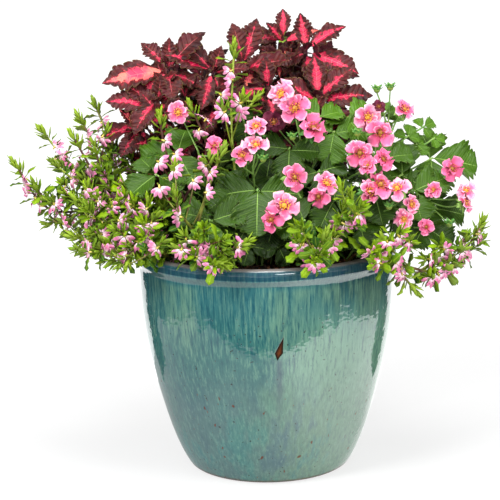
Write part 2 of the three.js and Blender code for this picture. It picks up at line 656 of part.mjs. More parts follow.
// Flowers look out from the pot, up, and towards the side seen first.
function growFanFlowers() {
  const solid = fanFlowerBlade();
  fanStems.forEach((branches, i) => {
    const name = numbered("fan_flower_stem", i);
    stems.get(name).forEach((row, j) => {
      for (let k = 0; k < branches[j].flowers; k++) {
        const distance = fanFlower.firstAt + k * fanFlower.spacing;
        if (distance > fanFlower.share * rowLength(row)) break;
        const spot = backFromTip(row, distance);
        const outward = new THREE.Vector3(spot.point.x, spot.point.y - flowerLean, flowerLean);
        const along = outOfFace(spot, k + i).addScaledVector(spot.tangent, fanFlower.rise);
        settleBlade(name, solid, spot.point, along, outward.normalize());
      }
    });
  });
}

// Small leaves stand on two faces of the stem in turn, and close in on it at the tip.
function growFanLeaves() {
  fanStems.forEach((branches, i) => {
    const name = numbered("fan_flower_stem", i);
    for (const row of stems.get(name)) {
      const leafy = Math.min(fanLeaf.reach, rowLength(row) * fanLeaf.share);
      for (let k = 0; fanLeaf.firstAt + k * fanLeaf.spacing < leafy; k++) {
        const spot = backFromTip(row, fanLeaf.firstAt + k * fanLeaf.spacing);
        const away = outOfFace(spot, 2 * k);
        const rise = radians(k < fanLeaf.tipCount ? fanLeaf.tipRise : fanLeaf.rise);
        const along = spot.tangent.clone().multiplyScalar(Math.cos(rise)).addScaledVector(away, Math.sin(rise));
        const face = spot.tangent.clone().multiplyScalar(Math.sin(rise)).addScaledVector(away, -Math.cos(rise));
        const length = fanLeaf.length * (fanLeaf.smallest + fanLeaf.range * scatter(k + 31 * i));
        settleBlade(name, fanLeafSolid(length), spot.point, along, face);
      }
    }
  });
}

// The parts of one piece joined into one body.
function joined(name) {
  const own = placedParts.filter((part) => part.name === name).map((part) => part.solid);
  const whole = own.reduce((sum, solid) => sum.add(solid)).simplify(sliver);
  if (whole.decompose().length !== 1) throw new Error(name + " falls apart");
  return whole;
}

keep("pot", potSolid());
growStems();
keep("potting_mix", soilSolid());
growStrawberryFlowers();
growFanBranches();
growStrawberryLeaves();
growColeusLeaves();
growFanFlowers();
growFanLeaves();

const planter = new THREE.Group();
planter.name = "potted_fan_flower";
for (const name of new Set(placedParts.map((part) => part.name))) {
  const finish = finishes[name.replace(/_\d+$/, "")];
  const mesh = new THREE.Mesh(geometryOf(joined(name)), new THREE.MeshStandardMaterial(finish));
  mesh.name = name;
  planter.add(mesh);
}

export default planter;
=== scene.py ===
import random
from math import cos, degrees, hypot, pi, radians, sin, sqrt, tan

import bmesh
import bpy
from mathutils import Euler, Matrix, Vector, noise


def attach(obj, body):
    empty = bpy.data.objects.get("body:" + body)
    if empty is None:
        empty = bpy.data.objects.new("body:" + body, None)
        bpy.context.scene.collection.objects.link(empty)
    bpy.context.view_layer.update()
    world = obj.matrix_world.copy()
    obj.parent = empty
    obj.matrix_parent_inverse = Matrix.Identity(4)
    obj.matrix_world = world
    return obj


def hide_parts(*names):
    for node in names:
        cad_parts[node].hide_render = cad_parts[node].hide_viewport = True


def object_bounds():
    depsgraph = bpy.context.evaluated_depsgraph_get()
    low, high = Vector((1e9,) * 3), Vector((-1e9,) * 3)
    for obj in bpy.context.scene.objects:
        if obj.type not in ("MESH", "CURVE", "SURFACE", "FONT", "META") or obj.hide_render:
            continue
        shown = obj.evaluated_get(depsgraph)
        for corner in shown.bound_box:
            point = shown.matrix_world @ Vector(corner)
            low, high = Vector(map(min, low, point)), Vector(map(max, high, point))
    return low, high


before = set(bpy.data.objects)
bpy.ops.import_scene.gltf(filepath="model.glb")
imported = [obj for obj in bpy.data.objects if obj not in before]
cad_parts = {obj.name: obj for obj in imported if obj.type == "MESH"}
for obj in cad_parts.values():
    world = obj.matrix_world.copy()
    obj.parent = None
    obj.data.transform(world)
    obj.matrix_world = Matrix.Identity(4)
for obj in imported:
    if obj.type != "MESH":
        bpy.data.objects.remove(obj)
cadBox = [list(corner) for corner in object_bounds()]
scene = bpy.context.scene
mm = 0.001  # the planting is written in millimetres
up = Vector((0, 0, 1))


def placed(name, data):  # a new object of the scene
    thing = bpy.data.objects.new(name, data)
    scene.collection.objects.link(thing)
    return thing


# The camera stands where the photograph was taken from: its place in millimetres, its angles and its lens.
photo = dict(place=(-19.4, -1920, 655), pitch=0.2, roll=-0.021, lens=115.3)


def addCamera():
    scene.camera = placed("camera", bpy.data.cameras.new("camera"))
    scene.camera.data.lens = photo["lens"]
    tilt = Matrix.Rotation(pi / 2 - photo["pitch"], 4, "X") @ Matrix.Rotation(photo["roll"], 4, "Z")
    scene.camera.matrix_world = Matrix.Translation(Vector(photo["place"]) * mm) @ tilt


def maths(operation, reflected=False):  # a method that adds one Math node
    def method(self, *others):
        values = (*others, self) if reflected else (self, *others)
        return self.board.add("ShaderNodeMath", {"operation": operation}, dict(enumerate(values)))
    return method


class Wire:  # a socket that can be used in sums
    def __init__(self, board, socket):
        self.board = board
        self.socket = socket

    __add__ = __radd__ = maths("ADD")
    __sub__, __rsub__ = maths("SUBTRACT"), maths("SUBTRACT", reflected=True)
    __mul__ = __rmul__ = maths("MULTIPLY")
    __truediv__, __pow__, __abs__ = maths("DIVIDE"), maths("POWER"), maths("ABSOLUTE")
    fract, cap, floor = maths("FRACT"), maths("MINIMUM"), maths("MAXIMUM")

    def rising(self, low, high):  # 0 below low, 1 above high, smooth between
        return self.board.add("ShaderNodeMapRange", {"interpolation_type": "SMOOTHSTEP"},
                              {0: self, 1: low, 2: high, 3: 0.0, 4: 1.0})

    def falling(self, low, high):
        return 1 - self.rising(low, high)


def colour(code):  # a hex colour as linear light
    parts = [int(code[i:i + 2], 16) / 255 for i in (0, 2, 4)]
    return tuple(p / 12.92 if p < 0.04045 else ((p + 0.055) / 1.055) ** 2.4 for p in parts) + (1.0,)


class Board:  # the nodes of one material
    def __init__(self, name):
        self.material = bpy.data.materials.new(name)
        self.material.use_nodes = True
        self.tree = self.material.node_tree
        self.tree.nodes.clear()

    def add(self, kind, settings, inputs, output=0):  # an input is a wire, a value or a hex colour
        node = self.tree.nodes.new(kind)
        for name, value in settings.items():
            setattr(node, name, value)
        for name, value in inputs.items():
            if isinstance(value, Wire):
                self.tree.links.new(value.socket, node.inputs[name])
            else:
                node.inputs[name].default_value = colour(value) if isinstance(value, str) else value
        if node.outputs:
            return Wire(self, node.outputs[output])

    def blend(self, share, first, second):
        return self.add("ShaderNodeMix", {"data_type": "RGBA"}, {0: share, 6: first, 7: second}, 2)

    def wash(self, body, *layers):  # colours laid over one another, each by its share
        for share, layer in layers:
            body = self.blend(share, body, layer)
        return body

    def place(self, stretch=(1, 1, 1)):
        spot = self.add("ShaderNodeTexCoord", {}, {}, "Object")
        return self.add("ShaderNodeMapping", {}, {"Vector": spot, "Scale": stretch})

    def grain(self, scale, detail, rough=0.55, stretch=(1, 1, 1)):
        return self.add("ShaderNodeTexNoise", {}, {"Vector": self.place(stretch), "Scale": scale, "Detail": detail,
                                                   "Roughness": rough})

    def parts(self, vector):
        outputs = self.add("ShaderNodeSeparateXYZ", {}, {0: vector}).socket.node.outputs
        return [Wire(self, output) for output in outputs]

    def attribute(self, name):
        return self.add("ShaderNodeAttribute", {"attribute_name": name}, {}, "Fac")

    def bump(self, height, distance, strength):
        return self.add("ShaderNodeBump", {}, {"Height": height, "Distance": distance, "Strength": strength})

    def shader(self, body, rough, **others):
        inputs = {name.replace("_", " "): value for name, value in others.items()}
        return self.add("ShaderNodeBsdfPrincipled", {}, {"Base Color": body, "Roughness": rough, **inputs})

    def ending(self, shader):
        self.add("ShaderNodeOutputMaterial", {}, {"Surface": shader})
        return self.material

    def surface(self, body, rough, **others):
        return self.ending(self.shader(body, rough, **others))


def bladeBoard(name):  # with the places across a blade from its rib (0) to its margin (1) and along it, and its tint
    g = Board(name)
    side, along, _ = g.parts(g.add("ShaderNodeUVMap", {"uv_map": "blade"}, {}))
    return g, abs(side * 2 - 1), along, g.attribute("tint")


# The planting, in millimetres. A coleus shoot is its root, its tip, the side it faces and its leaves. A leaf is its
# clock angle seen from the facing side, its lean to that side and its length.
coleusShoots = [
    ((-35, 60), (-117, 40, 491), -90,
     [(188, 14, 80), (47, -9, 62), (132, -12, 46), (283, 55, 56), (212, 30, 56), (88, -10, 40), (345, 20, 46)]),
    ((-52, 42), (-130, 10, 453), -90,
     [(228, 40, 54), (184, 5, 60), (338, 35, 50), (150, -10, 46), (80, 15, 36)]),
    ((-66, 25), (-149, 10, 421), -90,
     [(187, -8, 60), (232, 35, 46), (285, 45, 44), (130, 20, 38)]),
    ((-12, 72), (-62, 40, 486), -90,
     [(157, 5, 60), (128, -5, 55), (250, 35, 50), (12, 15, 46), (308, 40, 48), (75, 10, 36)]),
    ((8, 92), (-24, 62, 492), -90,
     [(96, 0, 50), (70, -5, 58), (2, 30, 68), (288, 45, 52), (180, 30, 44)]),
    ((34, 104), (27, 84, 517), -90,
     [(83, -10, 38), (163, 0, 46), (20, 10, 46), (262, 45, 48), (118, 20, 34)]),
    ((56, 82), (55, 58, 508), -90,
     [(33, 0, 54), (343, 17, 68), (97, -5, 45), (282, 45, 52), (200, 30, 40)]),
    ((76, 56), (66, 20, 452), -90,
     [(89, -15, 50), (44, -8, 56), (5, 9, 66), (142, 18, 55), (330, 30, 56), (270, 40, 44)]),
    ((14, 44), (6, 12, 466), -90,
     [(200, 30, 50), (350, 35, 46), (280, 50, 48), (90, 10, 40)]),
    ((-38, 100), (-78, 132, 468), 110,
     [(5, 10, 56), (60, 0, 50), (122, -5, 52), (178, 15, 58), (240, 42, 52), (302, 42, 52)]),
    ((62, 112), (66, 138, 470), 70,
     [(2, 10, 56), (58, 0, 50), (118, -5, 52), (176, 15, 58), (238, 42, 52), (300, 42, 52)]),
]

# The hub of three leaflets, the side they face, how far they look up, the clock angle of the middle one, the angle
# to the others, their length and how bright a green they are: partly the young leaves' own paler green, partly painted
# light and shade, lighter for leaves in the light and darker for shaded ones.
strawberryLeaves = [
    ((-104, -50, 395), -95, 48, 188, 108, 50, 0.5), ((-9, -85, 355), -90, 38, 268, 92, 60, 0.3),
    ((-65, -112, 325), -92, 40, 265, 110, 47, 0.35), ((84, -30, 414), -88, 42, 256, 118, 44, 0.8),
    ((30, -48, 398), -90, 40, 262, 92, 40, 0.2), ((164, -40, 362), -80, 42, 78, 108, 46, 0.35),
    ((204, 0, 375), -75, 50, 345, 92, 58, 0.5), ((200, -30, 319), -72, 45, 342, 86, 44, 0.3),
    ((44, -117, 323), -88, 42, 200, 96, 36, 0.25), ((80, -95, 342), -82, 42, 335, 96, 42, 0.2),
    ((-24, -12, 429), -90, 45, 18, 100, 36, 0.3), ((-84, 108, 372), 125, 45, 268, 92, 52, 0.3),
    ((112, 100, 366), 48, 45, 270, 92, 52, 0.3),
]

# Leaves that fill the gaps, in the same way.
moreLeaves = [
    ((150, -60, 324), -85, 45, 300, 96, 46, 0.35), ((176, -54, 344), -80, 42, 20, 100, 44, 0.45),
    ((128, -74, 346), -92, 40, 285, 92, 42, 0.2), ((146, -44, 384), -85, 48, 110, 100, 38, 0.5),
    ((190, -52, 300), -70, 40, 318, 92, 40, 0.3), ((64, -62, 372), -92, 40, 290, 96, 42, 0.25),
    ((68, -26, 432), -90, 50, 140, 110, 36, 0.95), ((104, -20, 426), -80, 50, 40, 104, 38, 0.9),
    ((176, 6, 402), -80, 40, 70, 80, 18, 1.0), ((196, 14, 412), -70, 35, 20, 80, 17, 1.0),
    ((150, 4, 432), -85, 40, 100, 84, 16, 1.0), ((8, -96, 312), -92, 30, 250, 100, 28, 0.0),
    ((36, -90, 312), -86, 30, 300, 96, 28, 0.0), ((-22, -98, 314), -95, 30, 240, 100, 28, 0.1),
    ((20, -78, 318), -90, 30, 270, 100, 38, 0.0), ((-34, -78, 350), -90, 40, 200, 96, 38, 0.25),
    ((-128, -66, 372), -100, 50, 230, 100, 40, 0.4), ((110, -98, 312), -88, 35, 280, 96, 36, 0.25),
    ((-46, 146, 358), 95, 45, 200, 100, 46, 0.3), ((32, 148, 350), 85, 45, 330, 100, 44, 0.35),
    ((-8, 140, 330), 90, 40, 270, 96, 42, 0.2), ((74, 134, 324), 70, 40, 300, 96, 40, 0.2),
    ((-86, 128, 332), 115, 40, 240, 96, 40, 0.25), ((6, 132, 398), 90, 50, 100, 110, 38, 0.4),
    ((-20, -106, 292), -95, 25, 250, 100, 24, 0.0), ((14, -106, 290), -88, 25, 292, 96, 24, 0.0),
    ((42, -102, 294), -85, 25, 268, 100, 24, 0.05), ((160, 8, 420), -80, 40, 120, 84, 15, 1.0),
    ((186, 4, 392), -75, 40, 300, 84, 18, 0.9), ((208, 10, 398), -70, 40, 350, 84, 15, 1.0),
]

# Flower stalks: the root, the hub, the blooms and the places of the buds. A bloom is its place, the side it faces, how
# far it looks up, its width and the number of the group it touches: 0 for none, -1 for one that is old and dark.
strawberryStalks = [
    ((38, -8), (44, -30, 402),
     [(22, -46, 460, -92, 30, 30, 1), (37, -55, 444, -88, 30, 35, 1), (57, -64, 421, -90, 28, 34, 2),
      (12, -42, 427, -110, 20, 25, -1)], [(33, -62, 408)]),
    ((-10, -32), (-14, -56, 378),
     [(-9, -62, 424, -90, 30, 28, 3), (-10, -73, 404, -88, 28, 28, 3), (-27, -79, 393, -94, 28, 26, 3)],
     [(-2, -84, 386)]),
    ((-58, -22), (-78, -48, 396),
     [(-100, -44, 441, -95, 35, 26, 0), (-58, -72, 404, -88, 30, 22, 0)], []),
    ((36, -70), (44, -88, 340),
     [(33, -100, 370, -92, 30, 31, 4), (70, -98, 361, -88, 30, 28, 5), (61, -105, 348, -92, 30, 25, 5),
      (20, -120, 340, -88, 30, 35, 6), (6, -129, 326, -92, 30, 28, 6)], []),
    ((96, -26), (132, -52, 378),
     [(121, -48, 431, -92, 30, 30, 7), (135, -57, 414, -88, 30, 32, 7), (110, -82, 394, -92, 30, 32, 8),
      (119, -90, 380, -90, 30, 24, 8), (136, -85, 386, -86, 30, 25, 8)], [(108, -70, 412)]),
    ((92, -58), (146, -72, 330),
     [(132, -99, 359, -90, 30, 33, 9), (118, -104, 352, -92, 30, 29, 9), (151, -103, 355, -86, 30, 29, 9),
      (168, -92, 334, -80, 25, 23, 0), (160, -98, 318, -95, 15, 22, 0), (186, -86, 306, -75, 20, 18, 0)],
     [(142, -100, 330)]),
    ((100, 12), (156, -2, 412),
     [(168, -12, 435, -80, 45, 26, 10), (138, -16, 440, -95, 30, 16, -1)], [(136, -10, 456), (152, -8, 458)]),
    ((108, -6), (206, -34, 336),
     [(221, -44, 367, -80, 30, 28, 11), (198, -62, 345, -90, 20, 20, 0), (238, -46, 341, -74, 28, 23, 12),
      (236, -54, 327, -76, 28, 22, 12)], [(216, -66, 302)]),
    ((-6, 112), (-4, 150, 380),
     [(-26, 168, 404, 95, 30, 30, 0), (18, 170, 392, 85, 25, 30, 0)],
     [(-4, 170, 410), (10, 160, 422), (-18, 158, 418)]),
]

# Fan-flower stems, each with its branches: how many flowers a branch carries and the points it passes through.
fanStems = [
    [(2, (-92, -8, 270), (-170, -22, 322), (-256, -30, 326), (-298, -30, 384))],
    [(3, (-90, 18, 270), (-168, 8, 330), (-232, 2, 375), (-270, 10, 418)),
     (1, (-168, 8, 330), (-215, -24, 352), (-250, -38, 383))],
    [(1, (-78, 34, 270), (-152, 20, 350), (-199, 12, 391), (-224, 20, 432)),
     (2, (-152, 20, 350), (-185, 30, 398), (-207, 42, 446))],
    [(3, (-96, -30, 270), (-150, -36, 330), (-196, -34, 362), (-228, -24, 414))],
    [(2, (-100, -48, 270), (-160, -66, 300), (-196, -74, 312), (-224, -66, 345)),
     (2, (-160, -66, 300), (-196, -82, 296), (-232, -72, 302))],
    [(2, (-98, -66, 270), (-136, -92, 289), (-174, -104, 287), (-210, -92, 285)),
     (3, (-136, -92, 289), (-148, -116, 300), (-160, -132, 278))],
    [(1, (-72, -48, 270), (-96, -58, 340), (-116, -62, 400), (-121, -62, 440)),
     (1, (-96, -58, 340), (-68, -50, 396), (-86, -44, 449))],
    [(2, (-26, -30, 270), (-34, -42, 350), (-38, -34, 430), (-33, -24, 516)),
     (1, (-38, -34, 430), (-22, -30, 440), (-6, -26, 456))],
    [(1, (-62, -84, 270), (-82, -112, 310), (-98, -128, 335), (-103, -132, 360)),
     (1, (-82, -112, 310), (-66, -108, 360), (-48, -94, 404))],
    [(3, (-44, -104, 270), (-78, -138, 300), (-74, -160, 294), (-48, -172, 284))],
    [(3, (52, -108, 270), (48, -140, 296), (58, -158, 296), (66, -156, 314)),
     (1, (52, -108, 270), (88, -116, 310), (101, -126, 330), (96, -126, 354))],
    [(3, (86, -78, 270), (122, -112, 288), (160, -124, 268), (212, -90, 256), (252, -62, 298)),
     (2, (122, -112, 288), (140, -134, 276), (170, -132, 240))],
    [(1, (-4, 134, 266), (-70, 160, 310), (-120, 172, 330)), (1, (-4, 134, 266), (70, 164, 312), (128, 168, 330))],
]

# Fan flowers that stand out from the stems, each on a shoot of its own, leafy except for most of the high ones.
fanSprays = [
    (-98, -158, 293), (-123, -142, 299), (-98, -146, 309), (-82, -166, 285), (-50, -158, 302), (-28, -162, 293),
    (-56, -172, 279), (-23, -150, 301), (41, -158, 296), (55, -172, 281), (71, -160, 291), (131, -134, 292),
    (120, -146, 284), (125, -158, 269), (181, -110, 240), (216, -90, 254), (199, -80, 269), (143, -146, 270),
    (-107, -78, 396), (-123, -82, 385), (-118, -104, 361), (-99, -99, 375), (-67, -86, 387), (-80, -110, 367),
    (-67, -116, 357), (-52, -44, 456), (-45, -54, 436), (-63, -49, 433), (-18, -46, 448), (-249, -44, 329),
    (-244, -34, 350), (-181, -24, 407), (-207, -54, 340), (-195, -64, 324), (-183, -84, 309), (-171, -64, 335),
    (-159, -89, 316), (-146, -114, 303), (-201, -74, 302), (-215, -49, 322), (-166, -54, 352), (-152, -84, 338),
    (-190, -44, 350), (-140, -109, 319), (-234, -44, 309), (84, -126, 317), (78, -136, 302), (38, -132, 313),
    (-199, -70, 335), (-187, -66, 322), (-178, -72, 333), (-169, -78, 312), (-193, -76, 306), (-171, -86, 296),
    (-160, -70, 322), (-204, -62, 352), (-155, -92, 290), (-181, -88, 286), (-210, -76, 292), (-146, -84, 308),
    (-164, -70, 340), (-148, -74, 332), (-136, -96, 336), (-128, -104, 320), (150, -122, 300), (164, -112, 288),
    (196, -96, 280), (176, -104, 264), (150, -128, 262), (232, -84, 272),
]

soilTop = 250
rootDepth = 30
neck = 6  # how far a stem rises straight from the mix
rimZone = dict(radii=(128, 190), top=280, clear=282, margin=5)  # where shoots have to clear the lip


def bowed(root, tip, along, rise):  # the middle of a stem between its root and its tip
    x, y = [a + (b - a) * along for a, b in zip(root, tip)]
    return x, y, soilTop + (tip[2] - soilTop) * rise


def smoothPath(points, step=7.0):  # a curve through the points, in short even pieces
    points = [Vector(p) for p in points]
    ends = [points[0] * 2 - points[1], *points, points[-1] * 2 - points[-2]]
    path = [points[0]]
    for a, b, c, d in zip(ends, ends[1:], ends[2:], ends[3:]):
        pieces = max(2, round((c - b).length / step))
        for i in range(1, pieces + 1):
            t = i / pieces
            path.append(0.5 * (2 * b + (c - a) * t + (2 * a - 5 * b + 4 * c - d) * t ** 2
                               + (3 * b - a - 3 * c + d) * t ** 3))
    return path


def rooted(root, *points):  # a stem that stands in the mix and goes through these points
    return smoothPath([(*root, soilTop - rootDepth), (*root, soilTop + neck), *points])


def twig(base, tip, bend):  # a short bent stem
    return smoothPath([base, base.lerp(tip, 0.5) + bend, tip], 6)


def pathLength(path):
    return sum((b - a).length for a, b in zip(path, path[1:]))


def backFrom(path, distance):  # the place this far back from the tip, and the way the stem goes there
    for a, b in zip(reversed(path[:-1]), reversed(path[1:])):
        piece = (b - a).length
        if distance <= piece:
            way = (b - a).normalized()
            return b - way * distance, way
        distance -= piece
    return path[0], (path[1] - path[0]).normalized()


def level(angle):  # a direction in plan
    return Vector((cos(angle), sin(angle), 0))


def turned(first, second, angle):  # the first direction turned towards the second, and the second with it
    return first * cos(angle) + second * sin(angle), second * cos(angle) - first * sin(angle)


def outlook(facing, look):  # out, right, face and rise of something that faces this way
    out = level(radians(facing))
    right = Vector((-out.y, out.x, 0))
    face, _ = turned(out, up, radians(look))
    return out, right, face, face.cross(right)


def aside(way, angle):  # a direction square to this way
    return Matrix.Rotation(angle, 3, way) @ way.orthogonal().normalized()


def atLip(place):  # over the pot's wall, and too low to clear it
    inner, outer = rimZone["radii"]
    return inner < hypot(place[0], place[1]) < outer and place[2] < rimZone["top"]


def kept(place):  # keeps a shoot's tip inside the model's own box and over the lip
    margin = rimZone["margin"]
    x, y, z = [min(max(c, a / mm + margin), b / mm - margin) for c, a, b in zip(place, *cadBox)]
    return Vector((x, y, rimZone["clear"] if atLip((x, y, z)) else z))


def seat(base, along, face, size=1.0, turn=0.0, lift=0.0):  # lays a shape along a direction, its face to another
    y = along.normalized()
    z = (face - y * face.dot(y)).normalized()
    laid = Matrix((y.cross(z), y, z)).transposed().to_4x4() @ Euler((lift, 0, turn), "ZXY").to_matrix().to_4x4()
    return Matrix.Translation(base) @ laid @ Matrix.Scale(size, 4)


def stretched(place, *sizes):
    return Matrix.Translation(place) @ Matrix.Diagonal((*sizes, 1))


def keepMesh(bm, name="shape"):
    mesh = bpy.data.meshes.new(name)
    bm.to_mesh(mesh)
    bm.free()
    return mesh


def simpleMesh(create, **sizes):
    bm = bmesh.new()
    create(bm, **sizes)
    return keepMesh(bm)


def vertsOf(made):
    return [part for part in made["geom"] if isinstance(part, bmesh.types.BMVert)]


def boundary(bm):
    return [edge for edge in bm.edges if edge.is_boundary]


def bladeMesh(blade, draw):  # a leaf or petal of length 1 along +Y with its face up
    blade = {"lobes": 0, "perLobe": 3, "depth": 0, "pucker": 0, "cup": 0, "notch": 0, **blade}
    lobes, thickness = blade["lobes"], blade["thickness"]
    bm = bmesh.new()
    bm.loops.layers.uv.new("blade")
    under = bm.verts.layers.float.new("under")
    rows = lobes * blade["perLobe"] or blade["rows"]
    bmesh.ops.create_grid(bm, x_segments=blade["columns"], y_segments=rows, size=1, calc_uvs=True)
    for vert in vertsOf(bmesh.ops.solidify(bm, geom=bm.faces[:], thickness=thickness)):
        vert[under] = 1
    curl = blade["curl"] * draw.uniform(0.3, 1.6) + 1e-4
    twist = blade["twist"] * draw.uniform(-1, 1)
    phase = draw.uniform(0, 6.3)
    for vert in bm.verts:
        side, v = vert.co.x, (vert.co.y + 1) / 2
        out = abs(side)
        half = blade["width"] / 2 * max(0, sin(pi * v ** blade["skew"])) ** blade["full"]
        step = (v * lobes + 1e-5) % 1 if lobes else 0.6
        tooth = sin(pi * step ** 1.2) ** 0.5 if lobes else 1
        reach = half * (1 - blade["depth"] * (1 - tooth) * out ** 2)
        swept = v + out * reach * blade["sweep"] * (1 - v ** 3)
        lift = out * half * tan(blade["fold"]) - vert[under] * thickness
        lift -= blade["pucker"] * cos(2 * pi * (step - 0.6)) * min(1, out * 2.5) * half
        lift += blade["wave"] * sin(v * 13 + phase + (2 if side > 0 else 0)) * out ** 2 * half
        lift += blade["cup"] * (side * half) ** 2
        bend = curl * (swept - blade["notch"] * (1 - out) * v ** 6)
        vert.co = Vector((side * reach, sin(bend) / curl + lift * sin(bend), (cos(bend) - 1) / curl + lift * cos(bend)))
        vert.co = Matrix.Rotation(twist * v, 3, "Y") @ vert.co
    bmesh.ops.remove_doubles(bm, verts=bm.verts, dist=1e-5)
    bmesh.ops.recalc_face_normals(bm, faces=bm.faces)
    return keepMesh(bm)


def bladeSet(blade, count, draw):
    return [bladeMesh(blade, draw) for _ in range(count)]


def stemMesh(paths):  # round stems along rows of (point, radius)
    curve = bpy.data.curves.new("stems", "CURVE")
    curve.dimensions = "3D"
    curve.bevel_depth = curve.bevel_resolution = 1
    curve.use_fill_caps = True
    for path in paths:
        spline = curve.splines.new("POLY")
        spline.points.add(len(path) - 1)
        for spot, (place, radius) in zip(spline.points, path):
            spot.co = (*place, 1)
            spot.radius = radius
    holder = bpy.data.objects.new("stems", curve)
    mesh = bpy.data.meshes.new_from_object(holder)
    bpy.data.objects.remove(holder)
    bpy.data.curves.remove(curve)
    return mesh


class Sprig:  # one piece, gathered from leaves, stems and petals
    def __init__(self, name="shape", finishes=()):
        self.name = name
        self.finishes = finishes
        self.stems = []
        self.bm = bmesh.new()
        self.bm.loops.layers.uv.new("blade")
        self.bm.verts.layers.float.new("under")
        self.tint = self.bm.verts.layers.float.new("tint")

    def add(self, mesh, place=Matrix(), tint=0.5, finish=0):
        firstVert, firstFace = len(self.bm.verts), len(self.bm.faces)
        self.bm.from_mesh(mesh)
        self.bm.verts.ensure_lookup_table()
        self.bm.faces.ensure_lookup_table()
        for vert in self.bm.verts[firstVert:]:
            vert.co = place @ vert.co
            vert[self.tint] = tint
        for face in self.bm.faces[firstFace:]:
            face.material_index += finish
            face.smooth = True

    def stem(self, path, foot, tip):  # thinner from its foot to its tip
        last = len(path) - 1
        self.stems.append([(place, foot + (tip - foot) * i / last) for i, place in enumerate(path)])

    def done(self, slot, *nodes, stemFinish=1, stemTint=0.5):
        if self.stems:
            self.add(stemMesh(self.stems), tint=stemTint, finish=stemFinish)
        bmesh.ops.transform(self.bm, matrix=Matrix.Scale(mm, 4), verts=self.bm.verts)
        mesh = keepMesh(self.bm, self.name)
        for finish in self.finishes:
            mesh.materials.append(finish)
        rideRoot(placed(self.name, mesh), slot, *nodes)


def rideRoot(piece, slot, *nodes):
    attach(piece, "root")
    if nodes:
        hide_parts(*nodes)


# Glazed pot: its profile as radius and height, from the middle of the foot out, up and back down inside, and the
# heights, in metres, between which the glaze changes.
pot = dict(
    profile=[(0, 0), (60, 0), (92, 0), (98, 1), (101, 4), (110, 20), (122, 50), (133, 90), (144, 130), (151, 170),
             (153.8, 200), (155, 225), (155.7, 243), (155.8, 250), (155.8, 253), (156.6, 255.5), (157.6, 257.5),
             (158.8, 259.5), (159.3, 261.5), (159.4, 265), (159.2, 270), (157.2, 273), (152, 274), (146, 273),
             (142.5, 269), (142, 263), (142, 240), (142, 165), (133, 120), (122, 80), (94, 18), (88, 14), (60, 14),
             (0, 14)],
    glazed=(4, 24), turns=64,  # glazed from this point of the profile to this one
    drain=dict(radius=8, circle=45, count=3, depth=50),
    middle=(0.09, 0.185), teal=(0.17, 0.24), shoulder=(0.2, 0.25), dust=(0.17, 0.225), dustEnd=(0.245, 0.253),
    coveFrom=(0.2525, 0.2545), coveTo=(0.2595, 0.261), rim=(0.2605, 0.262), lip=(0.2705, 0.2735), rustTo=(0.1, 0.15),
    pitsTo=(0.2, 0.24), dripFrom=(0.07, 0.15), dripTo=(0.163, 0.17), front=(-0.05, 0), markTop=0.1965, markHeight=0.031,
    markAt=0.0175, dripAt=0.0115,
)


